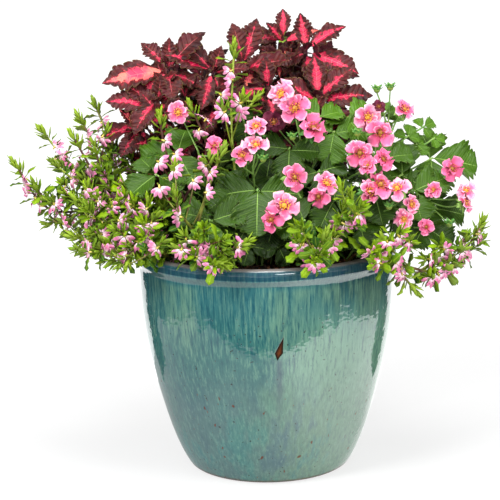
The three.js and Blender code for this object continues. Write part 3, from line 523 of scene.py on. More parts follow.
def glaze():
    g = Board("glaze")
    x, y, z = g.parts(g.place())
    streaks = g.grain(1, 4, 0.6, (90, 90, 11))
    broad = g.grain(1, 3, 0.55, (15, 15, 7))
    threads = g.grain(1, 4, 0.7, (330, 330, 30))
    grit = g.grain(240, 4)
    sheet = streaks * 0.45 + threads * 0.55
    run = z + (broad - 0.5) * 0.08 + (sheet - 0.5) * 0.12
    front = y.falling(*pot["front"])
    left = (x * (y.rising(0, 0.1) * 8 - 12) + (broad - 0.5) * 2.5 + (streaks - 0.5) * 2 + 0.55).rising(0, 1)
    low = g.wash(
        "527460", (left, "466664"),
        ((sheet * 0.8 + broad * 0.4).rising(0.56, 0.7) * left * 0.5, "28485a"),
        ((streaks * 0.5 + broad * 0.6).falling(0.42, 0.56) * z.falling(0.05, 0.16) * 0.6, "286a6c"))
    middle = g.blend((x + (sheet - 0.5) * 0.2).rising(-0.02, 0.06), "2c5c5a", "5a806c")
    dusty = (broad * 0.7 + sheet * 0.5).rising(0.54, 0.76) * run.rising(*pot["dust"]) * z.falling(*pot["dustEnd"])
    cove = z.rising(*pot["coveFrom"]) * z.falling(*pot["coveTo"])
    lip = z.rising(*pot["lip"])
    rust = g.grain(210, 0, stretch=(1, 1, 0.55)).rising(0.79, 0.83) * z.falling(*pot["rustTo"])
    pits = g.grain(330, 0, stretch=(1.2, 1.2, 1)).rising(0.79, 0.83) * z.falling(*pot["pitsTo"])
    drip = abs(x - pot["dripAt"]).falling(0.0005, 0.006) * z.rising(*pot["dripFrom"]) * z.falling(*pot["dripTo"])
    body = g.wash(
        low, (run.rising(*pot["middle"]), middle),
        (run.rising(*pot["teal"]) * 0.75, "2c6066"),
        (run.rising(*pot["shoulder"]) * x.rising(0.03, 0.1) * 0.7, "122d33"),
        (dusty * 0.6, "5d7d66"),
        (threads.rising(0.49, 0.66) * 0.4, "688f7c"),
        (threads.falling(0.34, 0.5) * (z.rising(0.1, 0.2) * 0.35 + 0.3), "103a4a"),
        (cove * (sheet * 0.6 + 0.3), "4a5f5e"),
        (z.rising(*pot["rim"]) * 0.6, "0e2840"),
        (lip * 0.85, "6f6660"),
        (pits * 0.8, "0c1415"),
        (drip * front * 0.6, "24344a"))
    fall = (pot["markTop"] - z) / pot["markHeight"]  # 0 at the bare mark's point, 1 at its foot
    inside = ((fall * 0.0075).cap((1 - fall) * 0.017)
              - abs(x - pot["markAt"] + fall * 0.0105 - fall * fall * 0.002))  # how far inside the mark's edge
    mark = inside.rising(0.0, 0.0009) * front
    clay = g.wash(
        "3c1c10", (grit.rising(0.3, 0.7), "6a3a26"),
        (mark, g.blend(inside.rising(0.0005, 0.006), "0a0503", "5e2e0e")),
        (rust, "5c2410"))
    bare = g.attribute("bare")
    relief = g.bump(g.grain(46, 2, stretch=(1, 1, 1.3)) + g.grain(130, 1, stretch=(1, 1, 1.3)) * 0.22 - pits * 0.6
                    - mark * 0.8 + grit * bare * 0.6, 0.0006, 1.0)
    glossy = g.shader(body, 0.035 + threads * 0.05 + lip * 0.45, Normal=relief, IOR=1.66)
    matte = g.shader(clay, 0.9, Normal=relief, Specular_IOR_Level=0.15)
    share = bare.floor(mark).floor(rust * 0.8)
    return g.ending(g.add("ShaderNodeMixShader", {}, {0: share, 1: glossy, 2: matte}))


def makePot():
    bm = bmesh.new()
    bare = bm.verts.layers.float.new("bare")
    row = []
    first, last = pot["glazed"]
    for i, (radius, z) in enumerate(pot["profile"]):
        row.append(bm.verts.new((radius * mm, 0, z * mm)))
        row[i][bare] = not first <= i <= last
    edges = [bm.edges.new(pair) for pair in zip(row, row[1:])]
    bmesh.ops.spin(bm, geom=row + edges, cent=(0, 0, 0), axis=up, angle=2 * pi, steps=pot["turns"], use_merge=True)
    bmesh.ops.remove_doubles(bm, verts=bm.verts, dist=1e-6)
    bmesh.ops.recalc_face_normals(bm, faces=bm.faces)
    shell = placed("potShell", keepMesh(bm, "potShell"))
    smooth = shell.modifiers.new("round", "SUBSURF")
    smooth.levels = smooth.render_levels = 1
    drain = pot["drain"]
    radius = drain["radius"] * mm
    cutters = []
    for i in range(drain["count"]):
        place = level(2 * pi * i / drain["count"]) * drain["circle"] * mm
        cutter = placed("cutter", simpleMesh(bmesh.ops.create_cone, cap_ends=True, segments=32, radius1=radius,
                                             radius2=radius, depth=drain["depth"] * mm,
                                             matrix=Matrix.Translation(place)))
        cut = shell.modifiers.new("drain", "BOOLEAN")
        cut.operation, cut.solver, cut.object = "DIFFERENCE", "EXACT", cutter
        cutters.append(cutter)
    solid = bpy.data.meshes.new_from_object(shell.evaluated_get(bpy.context.evaluated_depsgraph_get()))
    shell.modifiers.clear()
    shell.data = solid
    for cutter in cutters:
        bpy.data.objects.remove(cutter)
    solid.materials.clear()
    solid.materials.append(glaze())
    solid.polygons.foreach_set("use_smooth", [True] * len(solid.polygons))
    rideRoot(shell, "glaze", "pot")
    print("pot made")


# Mottled finishes: the grain, the weights of grain and tint and what is taken off, the edges between the two colours,
# the roughness and the bump.
mottles = dict(
    soil=((320, 4), (0.6, 0.5, 0), (0.35, 0.8), 0.95, (0.001, 0.8)),
    stem=((90, 3, 0.55, (1, 1, 0.4)), (0.8, 0.8, 0.3), (0.3, 0.7), 0.5, (0.0005, 0.5)),
    plain=((600, 3), (1, 1, 0.5), (0.3, 0.7), 0.6, (0.0005, 0.6)),
)


def mottled(kind, name, dark, pale):
    grain, (own, tinted, less), edges, rough, relief = mottles[kind]
    g = Board(name)
    fleck = g.grain(*grain)
    body = g.blend((fleck * own + g.attribute("tint") * tinted - less).rising(*edges), dark, pale)
    return g.surface(body, rough, Normal=g.bump(fleck, *relief))


# Potting mix: a rough round bed with crumbs of bark and grit on it, and the radius and height of its wall going down.
soil = dict(
    radius=141, rough=3.0, fine=1.5, bank=12, crumbs=900, crumbSize=(1.2, 4.2),
    wall=[(140, 165), (121, 80), (91, 14.4)],
)


def bankedUp(place):  # the mix lies a little higher against the wall
    return soil["bank"] * min(1, max(0, (hypot(place.x, place.y) - 30) / 60))


def makeSoil():
    draw = random.Random(11)
    mix = Sprig("pottingMix", [mottled("soil", "pottingMix", "24120a", "5c3420"),
                               mottled("soil", "barkCrumb", "2c180c", "7a4a2c")])
    bm = bmesh.new()
    bmesh.ops.create_circle(bm, cap_ends=True, cap_tris=True, segments=64, radius=soil["radius"])
    bmesh.ops.subdivide_edges(bm, edges=bm.edges, cuts=7, use_grid_fill=True)
    for vert in bm.verts:
        vert.co.z = (soilTop + soil["rough"] * noise.noise(vert.co * 0.09) * 2
                     + noise.noise(vert.co * 0.3) * soil["fine"])
        vert.co.z += bankedUp(vert.co)
    for radius, height in soil["wall"]:
        for vert in vertsOf(bmesh.ops.extrude_edge_only(bm, edges=boundary(bm))):
            flat = Vector((vert.co.x, vert.co.y, 0)).normalized() * radius
            vert.co = Vector((flat.x, flat.y, height))
    bmesh.ops.holes_fill(bm, edges=boundary(bm))
    bmesh.ops.recalc_face_normals(bm, faces=bm.faces)
    mix.add(keepMesh(bm), tint=0.4)
    crumb = simpleMesh(bmesh.ops.create_icosphere, subdivisions=1, radius=1)
    for _ in range(soil["crumbs"]):
        place = level(draw.uniform(0, 6.3)) * sqrt(draw.random()) * (soil["radius"] - 5)
        size = draw.uniform(*soil["crumbSize"])
        spin = Euler([draw.uniform(0, 6.3) for _ in range(3)]).to_matrix().to_4x4()
        flat = Matrix.Diagonal((size, size * draw.uniform(0.5, 1), size * draw.uniform(0.3, 0.7), 1))
        place.z = soilTop + bankedUp(place) + draw.uniform(-1, 2)
        mix.add(crumb, Matrix.Translation(place) @ spin @ flat, draw.random(), 1)
    mix.done("potting_mix", "potting_mix")
    print("soil made")


# Coleus: burgundy leaves with a flamed pink middle and a thin lime margin.
coleus = dict(
    blade=dict(columns=6, lobes=7, perLobe=5, width=0.57, skew=0.72, full=0.92, depth=0.21, sweep=0.66, fold=0.14,
               pucker=0.05, wave=0.18, curl=0.5, twist=0.25, thickness=0.01),
    small=dict(columns=4, lobes=7, perLobe=2, width=0.62, skew=0.68, full=0.98, depth=0.26, sweep=0.7, fold=0.16,
               pucker=0.04, wave=0.2, curl=0.6, twist=0.3, thickness=0.012),
    petiole=0.1, petioleEnds=(1.2, 0.8), stem=(2.6, 1.6), twig=(1.5, 1.1), look=45,
    sides=[30, 54, 80, 108, 138, 168],  # how far below the tip the side shoots start
    sideLength=(16, 30), sideFoot=22, youngShoot=5, grow=1.06, arch=0.22,
    tipLeaf=36, lower=(0.15, 1.6),  # longer leaves sit lower on the shoot, and so does each one after the other
    spacing=6, rise=(1.15, 0.42),  # small pairs: how far apart, how steep the first is and how much less each one
    # pairs of small leaves: how many, the length of the first, what each adds and their tint
    tipPairs=(2, 13, 9, 0.4), sidePairs=(3, 22, 11, 0.25),
)


def coleusFinish():
    g, out, along, tint = bladeBoard("coleusLeaf")
    fleck, patch, ragged = g.grain(240, 3), g.grain(45, 2), g.grain(150, 3)
    vein = abs((along * 8 - 0.25).fract() - 0.5) * 2  # 1 on a side vein, 0 between
    reach = 0.12 + tint * 0.44 + vein * 0.1 + (fleck - 0.5) * 0.2 + (ragged - 0.5) * 1.1 - along * (0.6 - tint * 0.25)
    wine = g.wash("280a0e", ((fleck * 0.6 + patch * 0.6).rising(0.42, 0.75), "541a14"),
                  ((patch * 1.3 - 0.25 + out * 0.2).rising(0.45, 0.75) * 0.5, "3a0d20"))
    pink = g.wash(
        "b2103c", ((tint * 0.7 + patch * 0.6 - out * 0.3).rising(0.6, 1.1), "d83c5a"),
        (tint.rising(0.75, 1) * patch.rising(0.4, 0.6) * 0.8, "ee7a62"),
        (vein.rising(0.8, 1) * out.falling(0.3, 0.6) * 0.4, "f58a8a"))
    body = g.wash(
        wine, ((reach + 0.1 - out).rising(-0.08, 0.08) * 0.5, "861026"),
        ((reach - out).rising(-0.03, 0.06), pink),
        (out.falling(0.015, 0.05) * along.falling(0.6, 0.9) * 0.35, "f07d83"),
        (out.rising(0.95, 0.98) * 0.5, "7c7038"),
        (g.attribute("under") * 0.7, "4a1c28"))
    relief = g.bump(vein.falling(0.7, 1.0) + out.rising(0, 0.08) + fleck * 0.5, 0.0008, 0.7)
    return g.surface(body, 0.52, Normal=relief, Specular_IOR_Level=0.22)


def youngFinish():
    g, out, along, _ = bladeBoard("coleusYoungLeaf")
    body = g.wash("3c6a16", ((g.grain(300, 2) + along * 0.4).rising(0.3, 0.8), "6f9a2a"),
                  (out.falling(0.1, 0.5) * 0.4, "a85a4a"))
    return g.surface(body, 0.5, Specular_IOR_Level=0.25)


def makeColeus():
    draw = random.Random(5)
    vary = draw.uniform
    finishes = [coleusFinish(), mottled("stem", "coleusStem", "4a1626", "6d6a34"), youngFinish()]
    blades = bladeSet(coleus["blade"], 6, draw)
    small = bladeSet(coleus["small"], 5, draw)
    petiole = coleus["petiole"]
    perLength, perLeaf = coleus["lower"]

    def leaf(sprig, shapes, base, along, face, length, tint, finish=0):
        start = base + along.normalized() * length * petiole
        sprig.stem((base, start), *coleus["petioleEnds"])
        sprig.add(draw.choice(shapes),
                  seat(start, along, face, length * (1 - petiole), vary(-0.1, 0.1), vary(-0.12, 0.12)), tint, finish)

    def whorls(sprig, path, pairs, first, step, tint, finish=0):  # pairs of leaves back from a tip, each turned
        turn = vary(0, 3.1)
        steep, less = coleus["rise"]
        for j in range(pairs):
            base, way = backFrom(path, 1 + coleus["spacing"] * j)
            for k in range(2):
                away = aside(way, turn + j * pi / 2 + k * pi)
                along, face = turned(away, way, steep - less * j + vary(-0.15, 0.15))
                leaf(sprig, small, base, along, face, (first + step * j) * vary(0.85, 1.15), tint + vary(-0.15, 0.25),
                     finish)

    for i, (root, apex, facing, leaves) in enumerate(coleusShoots):
        path = rooted(root, bowed(root, apex, 0.55, 0.5), apex)
        sprig = Sprig(f"coleusShoot{i + 1:02d}", finishes)
        sprig.stem(path, *coleus["stem"])
        out, right, face, _ = outlook(facing, coleus["look"])
        for j, (clock, toward, length) in enumerate(leaves):
            length *= coleus["grow"]
            flat, _ = turned(right, up, radians(clock))
            along, _ = turned(flat, out, radians(toward))
            base, _ = backFrom(path, 1 + max(0, length - coleus["tipLeaf"]) * perLength + perLeaf * j)
            leaf(sprig, blades, base, along + face * coleus["arch"], face, length, vary(0.0, 1))
        whorls(sprig, path, *coleus["tipPairs"], 2 if i == coleus["youngShoot"] else 0)
        for j, back in enumerate(coleus["sides"]):
            base, way = backFrom(path, back)
            if base.z < soilTop + coleus["sideFoot"]:
                break
            for k in range(2):
                away = aside(way, i * 0.9 + j * pi / 2 + k * pi + vary(-0.3, 0.3))
                tip = kept(base + (away + way * 0.5 + up * 0.1).normalized() * vary(*coleus["sideLength"]))
                side = twig(base, tip, up * -2)
                sprig.stem(side, *coleus["twig"])
                whorls(sprig, side, *coleus["sidePairs"])
        sprig.done("coleus_leaf", f"coleus_shoot_{i + 1:02d}", stemTint=0.3)
    print("coleus made")


# Strawberry: three toothed leaflets on a stalk, and semi-double pink blooms.
berry = dict(
    leaflet=dict(columns=6, lobes=8, width=1.08, skew=0.68, full=0.6, depth=0.22, sweep=0.65, fold=0.2, pucker=0.05,
                 wave=0.13, cup=0.12, curl=0.4, twist=0.12, thickness=0.01),
    petal=dict(columns=6, rows=6, width=0.94, skew=1.3, full=0.58, sweep=0.1, fold=0.02, wave=0.5, cup=0.9, curl=0.35,
               twist=0.25, thickness=0.02, notch=0.18),
    sepal=dict(columns=2, rows=4, width=0.42, skew=0.8, full=0.7, sweep=0.1, fold=0.15, wave=0, curl=0.5, twist=0,
               thickness=0.06),
    side=0.9, petiole=(1.7, 1.2), leafletStalk=(1.1, 0.9), stalk=(1.8, 1.3), branch=(1.1, 0.8),
    widest=118,  # how far from the middle a stalk may stand
    # undergrowth: the radius of a ring, its leaves, their height and how far in they stand, and the ranges
    rings=[(124, 22, 302, 0.75), (100, 18, 330, 0.6), (72, 14, 352, 0.55), (44, 9, 366, 0.5)],
    # ringTint keeps the undergrowth's leaves dark: painted shade for the inside of the planting
    ringLook=(35, 60), ringSpread=105, ringSize=(34, 46), ringTint=(0, 0.25), loose=14,
    openFront=(60, 50), outerRing=110,  # the front's middle stays free of it, and the outer leaves lie sideways
    # rings of petals: their number, length and tilt, and how often an inner one is missing
    petals=[((5, 6, 7), 0.53, 0.1), (4, 0.36, 0.6)], missing=0.35, eye=0.1, stamens=22, stamen=0.027, sepals=10,
    bloomGrow=1.04, calyxGrow=1.05, budCup=25, bud=(8, 8, 9),
    branchStep=5, hook=16, cup=2,  # how far apart branches start, how far behind a bloom they bend, and the cup's depth
)


def leafletFinish():
    g, out, along, tint = bladeBoard("strawberryLeaflet")
    fleck, fine = g.grain(150, 3), g.grain(700, 2)
    vein = abs((along * 8 - 0.17 + (fleck - 0.5) * 0.5).fract() - 0.5) * 2
    body = g.wash(
        "102404", (tint, "426a0c"),
        ((fleck * 0.8 + vein * 0.1).rising(0.35, 0.7) * 0.3, "32540c"),
        (vein.falling(0.0, 0.6) * (tint * 0.12 + 0.02), "8aa846"),
        (vein.rising(0.84, 1) * 0.22, "82a23c"),
        (out.falling(0.01, 0.035) * 0.6, "8cb055"),
        (out.rising(0.93, 1) * 0.25, "8aa04a"),
        (g.attribute("under") * 0.7, "77904c"))
    relief = g.bump(vein.falling(0.55, 1.0) * 0.7 + out.rising(0, 0.06) * 0.6 + fleck * 0.6 + fine * 0.15, 0.0008, 0.7)
    return g.surface(body, 0.42, Normal=relief, Specular_IOR_Level=0.18)


def petalFinish(name, base, middle, edge, old):
    g, out, along, tint = bladeBoard(name)
    lines = g.grain(380, 3)
    body = g.wash(
        base, (along.rising(0.08, 0.6), middle),
        ((along * 0.5 + out * 0.4 + tint * 0.4 + (lines - 0.5) * 0.6).rising(0.6, 1.2), edge),
        (tint.falling(-1, -0.2), old))
    return g.surface(body, 0.6, Normal=g.bump(lines, 0.0004, 0.4), Specular_IOR_Level=0.25)


def bloomMesh(petals, draw):  # a bloom one across, looking up +Z: finish 0 petals, 1 the eye, 2 its stamens
    bloom = Sprig()
    vary = draw.uniform
    (counts, *outer), inner = berry["petals"]
    for ring, (count, reach, tilt) in enumerate([(draw.choice(counts), *outer), inner]):
        for i in range(count):
            if ring and draw.random() < berry["missing"]:
                continue
            lean = tilt + vary(-0.3, 0.4)
            out = level((i + ring * 0.5) * 2 * pi / count + vary(-0.25, 0.25))
            along, face = turned(out, up, lean)
            base = up * (0.02 * ring + 0.008 * i) + out * 0.05
            bloom.add(draw.choice(petals), seat(base, along, face, reach * vary(0.78, 1.12), vary(-0.15, 0.15)))
    eye = simpleMesh(bmesh.ops.create_uvsphere, u_segments=10, v_segments=6, radius=berry["eye"])
    bloom.add(eye, stretched((0, 0, 0.06), 1, 1, 0.8), finish=1)
    stamen = simpleMesh(bmesh.ops.create_icosphere, subdivisions=1, radius=berry["stamen"])
    for i in range(berry["stamens"]):
        spot = level(i * 2.4) * vary(0.1, 0.2)
        bloom.add(stamen, Matrix.Translation((spot.x, spot.y, vary(0.09, 0.17))), finish=2)
    return keepMesh(bloom.bm)


def calyxMesh(sepals, draw, tilt):  # pointed sepals round a cup, one across
    calyx = Sprig()
    for i in range(berry["sepals"]):
        along, face = turned(level(i * 2 * pi / berry["sepals"]), up, tilt + (0.15 if i % 2 else -0.05))
        calyx.add(draw.choice(sepals), seat(Vector(), along, face, 0.5 if i % 2 else 0.4))
    return keepMesh(calyx.bm)


def makeStrawberry():
    draw = random.Random(3)
    vary = draw.uniform
    leafFinishes = [leafletFinish(), mottled("stem", "strawberryStalk", "5c8a34", "93b25a")]
    leaflets = bladeSet(berry["leaflet"], 5, draw)

    def leaf(sprig, hub, facing, look, clock, spread, size, tint, reach=0.6, loose=0):
        reach = min(reach, berry["widest"] / max(1, hypot(hub[0], hub[1])))
        root = [hub[0] * reach + vary(-loose, loose), hub[1] * reach + vary(-loose, loose)]
        path = rooted(root, bowed((0, 0), hub, (reach + 0.6) / 2, 0.6), hub)
        sprig.stem(path, *berry["petiole"])
        _, right, face, rise = outlook(facing, look)
        for j, turn in enumerate((0, -spread, spread)):
            along, _ = turned(right, rise, radians(clock + turn))
            base, _ = backFrom(path, 1 + 1.5 * j)
            length = size * (berry["side"] if j else 1)
            start = base + along * length * 0.04
            sprig.stem((base, start), *berry["leafletStalk"])
            sprig.add(draw.choice(leaflets),
                      seat(start, along, face, length * 0.97, vary(-0.08, 0.08), vary(-0.1, 0.1)),
                      tint + vary(-0.08, 0.08))

    for i, row in enumerate(strawberryLeaves):
        sprig = Sprig(f"strawberryLeaf{i + 1:02d}", leafFinishes)
        leaf(sprig, *row)
        sprig.done("strawberry_leaf", f"strawberry_leaf_{i + 1:02d}")
    # The undergrowth is painted shade: its leaves get dark tints and its stalks the dark shaded finish.
    undergrowth = Sprig("strawberryUndergrowth", [*leafFinishes, mottled("stem", "shadedStalk", "16240e", "4a6a2c")])
    forward, across = berry["openFront"]
    for radius, count, height, reach in berry["rings"]:
        for k in range(count):
            angle = k * 2 * pi / count + vary(-0.2, 0.2) + radius
            place = level(angle) * radius * vary(0.85, 1.08)
            place.z = height + vary(-18, 18) + (18 if place.y > 0 else -6)
            if place.y < -forward and abs(place.x) < across:
                continue
            clock = vary(200, 340) if radius < berry["outerRing"] else draw.choice((15, 165)) + vary(-25, 25)
            leaf(undergrowth, place, degrees(angle), vary(*berry["ringLook"]), clock, berry["ringSpread"],
                 vary(*berry["ringSize"]), vary(*berry["ringTint"]), reach * vary(0.6, 1), berry["loose"])
    undergrowth.done("strawberry_leaf", stemFinish=2)
    more = Sprig("strawberryMoreLeaves", leafFinishes)
    for row in moreLeaves:
        leaf(more, *row, vary(0.25, 0.55), berry["loose"])
    more.done("strawberry_leaf")
    petals = bladeSet(berry["petal"], 5, draw)
    sepals = bladeSet(berry["sepal"], 2, draw)
    blooms = [bloomMesh(petals, draw) for _ in range(6)]
    calyx, budCup = calyxMesh(sepals, draw, -0.3), calyxMesh(sepals, draw, 1.1)
    budBelly = simpleMesh(bmesh.ops.create_uvsphere, u_segments=12, v_segments=8, radius=0.5)
    bloomFinishes = [petalFinish("strawberryPetal", "b53a5c", "d25a86", "eeb0c4", "5e1530"),
                     mottled("plain", "bloomEye", "8a5a10", "c08a22"), mottled("plain", "stamen", "9a4a0c", "dc9c28")]
    stalkFinishes = [*bloomFinishes, leafFinishes[1], mottled("plain", "sepal", "3f7a2a", "7fa54a"),
                     mottled("plain", "budBelly", "6f8a34", "c9904a")]
    groups = {}
    for i, (root, hub, flowers, buds) in enumerate(strawberryStalks):
        path = rooted(root, bowed(root, hub, 0.5, 0.6), hub)
        sprig = Sprig(f"strawberryStalk{i + 1:02d}", stalkFinishes)
        sprig.stem(path, *berry["stalk"])
        for j, (x, y, z, facing, look, width, group) in enumerate(flowers):
            _, _, face, rise = outlook(facing + vary(-40, 40), look + vary(-22, 26))
            place = Vector((x, y, z))
            holder = sprig
            if group > 0:
                holder = groups.setdefault(group, Sprig(f"strawberryBloom{group:02d}", bloomFinishes))
            tint = -1 if group < 0 else vary(0, 1)
            holder.add(draw.choice(blooms), seat(place, rise, face, width * berry["bloomGrow"], vary(0, 6)), tint)
            start, _ = backFrom(path, 1 + berry["branchStep"] * j)
            bend = (place - face * berry["hook"]).lerp(start, 0.3)
            cup = place - face * berry["cup"]
            sprig.stem(smoothPath([start, bend, cup], 5), *berry["branch"])
            sprig.add(calyx, seat(cup, rise, face, width * berry["calyxGrow"]), draw.random(), 4)
        for j, bud in enumerate(buds):
            start, _ = backFrom(path, 1 + berry["branchStep"] * (len(flowers) + j))
            base = Vector(bud)
            sprig.stem(smoothPath([start, base.lerp(start, 0.4) + up * 4, base], 5), *berry["branch"])
            sprig.add(budCup, seat(base, Vector((0, 1, 0)), up, berry["budCup"]), 0.4, 4)
            sprig.add(budBelly, stretched(base + up * 4, *berry["bud"]), 0.3, 5)
        sprig.done("strawberry_stem", f"strawberry_stalk_{i + 1:02d}", stemFinish=3)
    for group, sprig in groups.items():
        sprig.done("pink_petal", f"strawberry_bloom_{group:02d}")
    print("strawberry made")


# Fan flower: leafy stems with narrow leaves at the tips, spoon leaves below, and half-round pink flowers.
fan = dict(
    narrow=dict(columns=2, rows=4, width=0.28, skew=1.1, full=0.8, sweep=0, fold=0.3, wave=0.1, curl=-0.35, twist=0.3,
                thickness=0.03),
    spoon=dict(columns=2, lobes=3, perLobe=2, width=0.46, skew=2.0, full=0.75, depth=0.25, sweep=0.1, fold=0.2,
               wave=0.2, curl=0.6, twist=0.3, thickness=0.02),
    petal=dict(columns=2, rows=5, width=0.36, skew=1.3, full=0.6, sweep=0, fold=0.12, wave=0.4, curl=0.4, twist=0.25,
               thickness=0.03),
    stem=(2.0, 1.3), twig=(1.0, 0.7), stemTints=(0.2, 0.75, 0.45), leafy=0.85, turn=2.4,
    young=10, tuft=18, grown=22,  # how old a leaf is, as millimetres from the tip
    flower=13.5, flowerStalk=6, petals=5, petalAngle=34,
    flowersFrom=32, flowerStep=11, sideFlower=(14, 20),  # how far below a tip flowers sit
    sideFoot=12, sideFrom=24, sideStep=(9, 15), sideLength=(22, 44), sideShare=0.8, sideLeaves=(40, 6),
    open=[6, 7, 8],  # stems without side shoots
    bareTop={0: 66, 1: 74, 2: 74, 3: 60, 4: 40},  # how far below the tip the side shoots start
    spray=45, sprayLeaves=(32, 8), bareSprays=(0, 0, 14), bareAbove=340, bareRight=-130, sprayDroop=0.9,
)


def fanLeafFinish():
    g, out, along, tint = bladeBoard("fanFlowerLeaf")
    fleck = g.grain(260, 2)
    body = g.wash(
        "2b5417", (tint, "84a405"),
        (fleck.rising(0.4, 0.75) * 0.3, "446410"),
        # painted shade: each leaf darkens towards its base, where the tuft around it shades it
        (along.falling(0.0, 0.5) * 0.35, "243f0c"),
        (out.falling(0.05, 0.2) * 0.4, "98ae28"),
        (g.attribute("under") * 0.5, "7c8c36"))
    return g.surface(body, 0.45, Normal=g.bump(out.rising(0, 0.2) + fleck * 0.5, 0.0005, 0.6), Specular_IOR_Level=0.15)


def fanFlowerMesh(petals, draw):  # a flower of radius 1 fanned about +Y with its face up
    flower = Sprig()
    for i in range(fan["petals"]):
        angle = (i - 2) * radians(fan["petalAngle"]) + draw.uniform(-0.1, 0.1)
        along = Vector((sin(angle), cos(angle), draw.uniform(-0.1, 0.2)))
        flower.add(draw.choice(petals), seat(along * 0.12, along, up, draw.uniform(0.82, 1.0)))
    throat = simpleMesh(bmesh.ops.create_cone, cap_ends=True, segments=8, radius1=0.05, radius2=0.1, depth=0.34)
    flower.add(throat, Matrix.Translation((0, -0.02, -0.08)) @ Matrix.Rotation(radians(-50), 4, "X"), finish=1)
    return keepMesh(flower.bm)


def makeFanFlower():
    draw = random.Random(8)
    vary = draw.uniform
    finishes = [fanLeafFinish(), mottled("stem", "fanFlowerStem", "4a221a", "8a9a2c")]
    narrow, spoon = bladeSet(fan["narrow"], 4, draw), bladeSet(fan["spoon"], 5, draw)
    petals = bladeSet(fan["petal"], 5, draw)
    flowers = [fanFlowerMesh(petals, draw) for _ in range(5)]
    heads = Sprig("fanFlowerHeads", [petalFinish("fanFlowerPetal", "f2d4de", "d0709c", "e8a6c0", "8a5a80"),
                                     mottled("plain", "fanFlowerThroat", "a89a34", "cfc060")])

    def leafy(sprig, path, reach, older=0):  # leaves back from the tip, narrow and dense at first
        turn, shade, back = vary(0, 6.3), vary(-0.4, 0.15), 0.3
        reach = min(reach, pathLength(path) - 3)
        while back < reach:
            base, way = backFrom(path, back)
            turn += fan["turn"]
            age = back + older
            back += 0.9 if age < fan["young"] else 1.7 if age < fan["grown"] else vary(4, 8)
            tuft = age < fan["tuft"]
            away = aside(way, turn)
            along, under = turned(way, away, 0.28 + 0.95 * min(1, age / fan["grown"]) + vary(-0.2, 0.2))
            size = (12 + age * 0.25 if tuft else vary(15, 25)) * vary(0.85, 1.15)
            tint = max(0, 1.05 + shade - age / 50 + vary(-0.3, 0.2))
            if not atLip(base):
                sprig.add(draw.choice(narrow if tuft else spoon), seat(base, along, -under, size), tint)

    def flowerAt(sprig, base, way, droop=0.5):
        face = Vector((base.x * 0.5, base.y - 70, 45)).normalized()
        face = (face + Vector([vary(-0.5, 0.5) for _ in range(3)])).normalized()
        fanned = (aside(face, vary(0, 6.3)) - up * droop).normalized()
        spot = base + (face + way * 0.4).normalized() * fan["flowerStalk"]
        sprig.stem((base, spot), 0.6, 0.6)
        heads.add(draw.choice(flowers), seat(spot, fanned, face, fan["flower"] * vary(0.85, 1.1)), draw.random())

    sprigs, mains = [], []
    for i, branches in enumerate(fanStems):
        sprig = Sprig(f"fanFlowerStem{i + 1:02d}", finishes)
        paths = []
        for count, first, *route in branches:
            if paths:
                path = smoothPath([min(paths[0], key=lambda p: (p - Vector(first)).length), *route])
            else:
                path = rooted(first[:2], *route)
            paths.append(path)
            sprig.stem(path, *fan["stem"])
            length = pathLength(path)
            leafy(sprig, path, length * fan["leafy"])
            back = fan["bareTop"].get(i, fan["sideFrom"])
            while back < length * fan["sideShare"] and i not in fan["open"]:
                base, way = backFrom(path, back)
                if base.z < soilTop + fan["sideFoot"]:
                    break
                away = aside(way, vary(0, 6.3))
                tip = kept(base + (way * 0.8 + away * 0.6 + up * 0.35).normalized() * vary(*fan["sideLength"]))
                side = twig(base, tip, away * 3)
                sprig.stem(side, *fan["twig"])
                leafy(sprig, side, *fan["sideLeaves"])
                if draw.random() < (0.25 if side[-1].x > 90 else 0.5):
                    flowerAt(sprig, *backFrom(side, vary(*fan["sideFlower"])))
                back += vary(*fan["sideStep"])
            for k in range(count * (1 if i in fan["open"] else 2)):
                flowerAt(sprig, *backFrom(path, fan["flowersFrom"] + k * fan["flowerStep"]))
        sprigs.append(sprig)
        mains.append([p for path in paths for p in path if p.z > soilTop + 8])
    for place in fanSprays:
        spot = Vector(place)

        def farness(p, near=0):  # from this place on a stem to the flower, and worse from above it
            return abs((p - spot).length - near) + max(0, p.z - spot.z) * 2

        nearest = min(range(len(mains)), key=lambda i: min(map(farness, mains[i])))
        start = min(mains[nearest], key=lambda p: farness(p, fan["spray"]))
        tip = kept(spot + up * vary(4, 12) + Vector((vary(-6, 6), -4, 0)))
        path = twig(start, tip, up * -3)
        sprig = sprigs[nearest]
        sprig.stem(path, *fan["twig"])
        reach, older = fan["sprayLeaves"]
        high = spot.z > fan["bareAbove"] and spot.x > fan["bareRight"]
        leafy(sprig, path, draw.choice(fan["bareSprays"]) if high else reach, older)
        flowerAt(sprig, *backFrom(path, 8), fan["sprayDroop"])
    for i, sprig in enumerate(sprigs):
        sprig.done("fan_flower_leaf", f"fan_flower_stem_{i + 1:02d}", stemTint=fan["stemTints"][i % 3])
    heads.done("pink_petal")
    print("fan flower made")


# Studio, in metres: a white table with a dark room in front and beside it, which only the glaze shows, and soft lamps.
studio = dict(
    floor=40, world=0.42, glow=0.53, floorGlow=0.95, floorNear=(0.3, 1.8),
    dark=[(-3, -3, 3, -0.45), (-3, -0.45, -0.69, 0.9), (0.69, -0.45, 3, 0.9), (-0.69, -0.45, -0.53, -0.35),
          (0.53, -0.45, 0.69, -0.35)],
    dim=(-0.69, -0.45, 0.2, 0.3), dimEdge=(-0.06, 0.16),  # the left of the table reflects less
    cardFoot=[(0.285, 0.13), (0.4, 0.09)], cardHeight=0.5,  # upright cards beside the pot
    aim=(0, 0, 0.3),
    # place, size and power; the third puts a streak on the lip
    lamps=[((-1.3, -1.3, 1.6), (0.7, 0.9), 50), ((1.3, -1.25, 1.2), (0.6, 0.8), 20),
           ((0.64, -1.64, 0.74), (0.85, 0.26), 8), ((0.1, -0.5, 2.2), (1.1, 0.8), 42)],
)


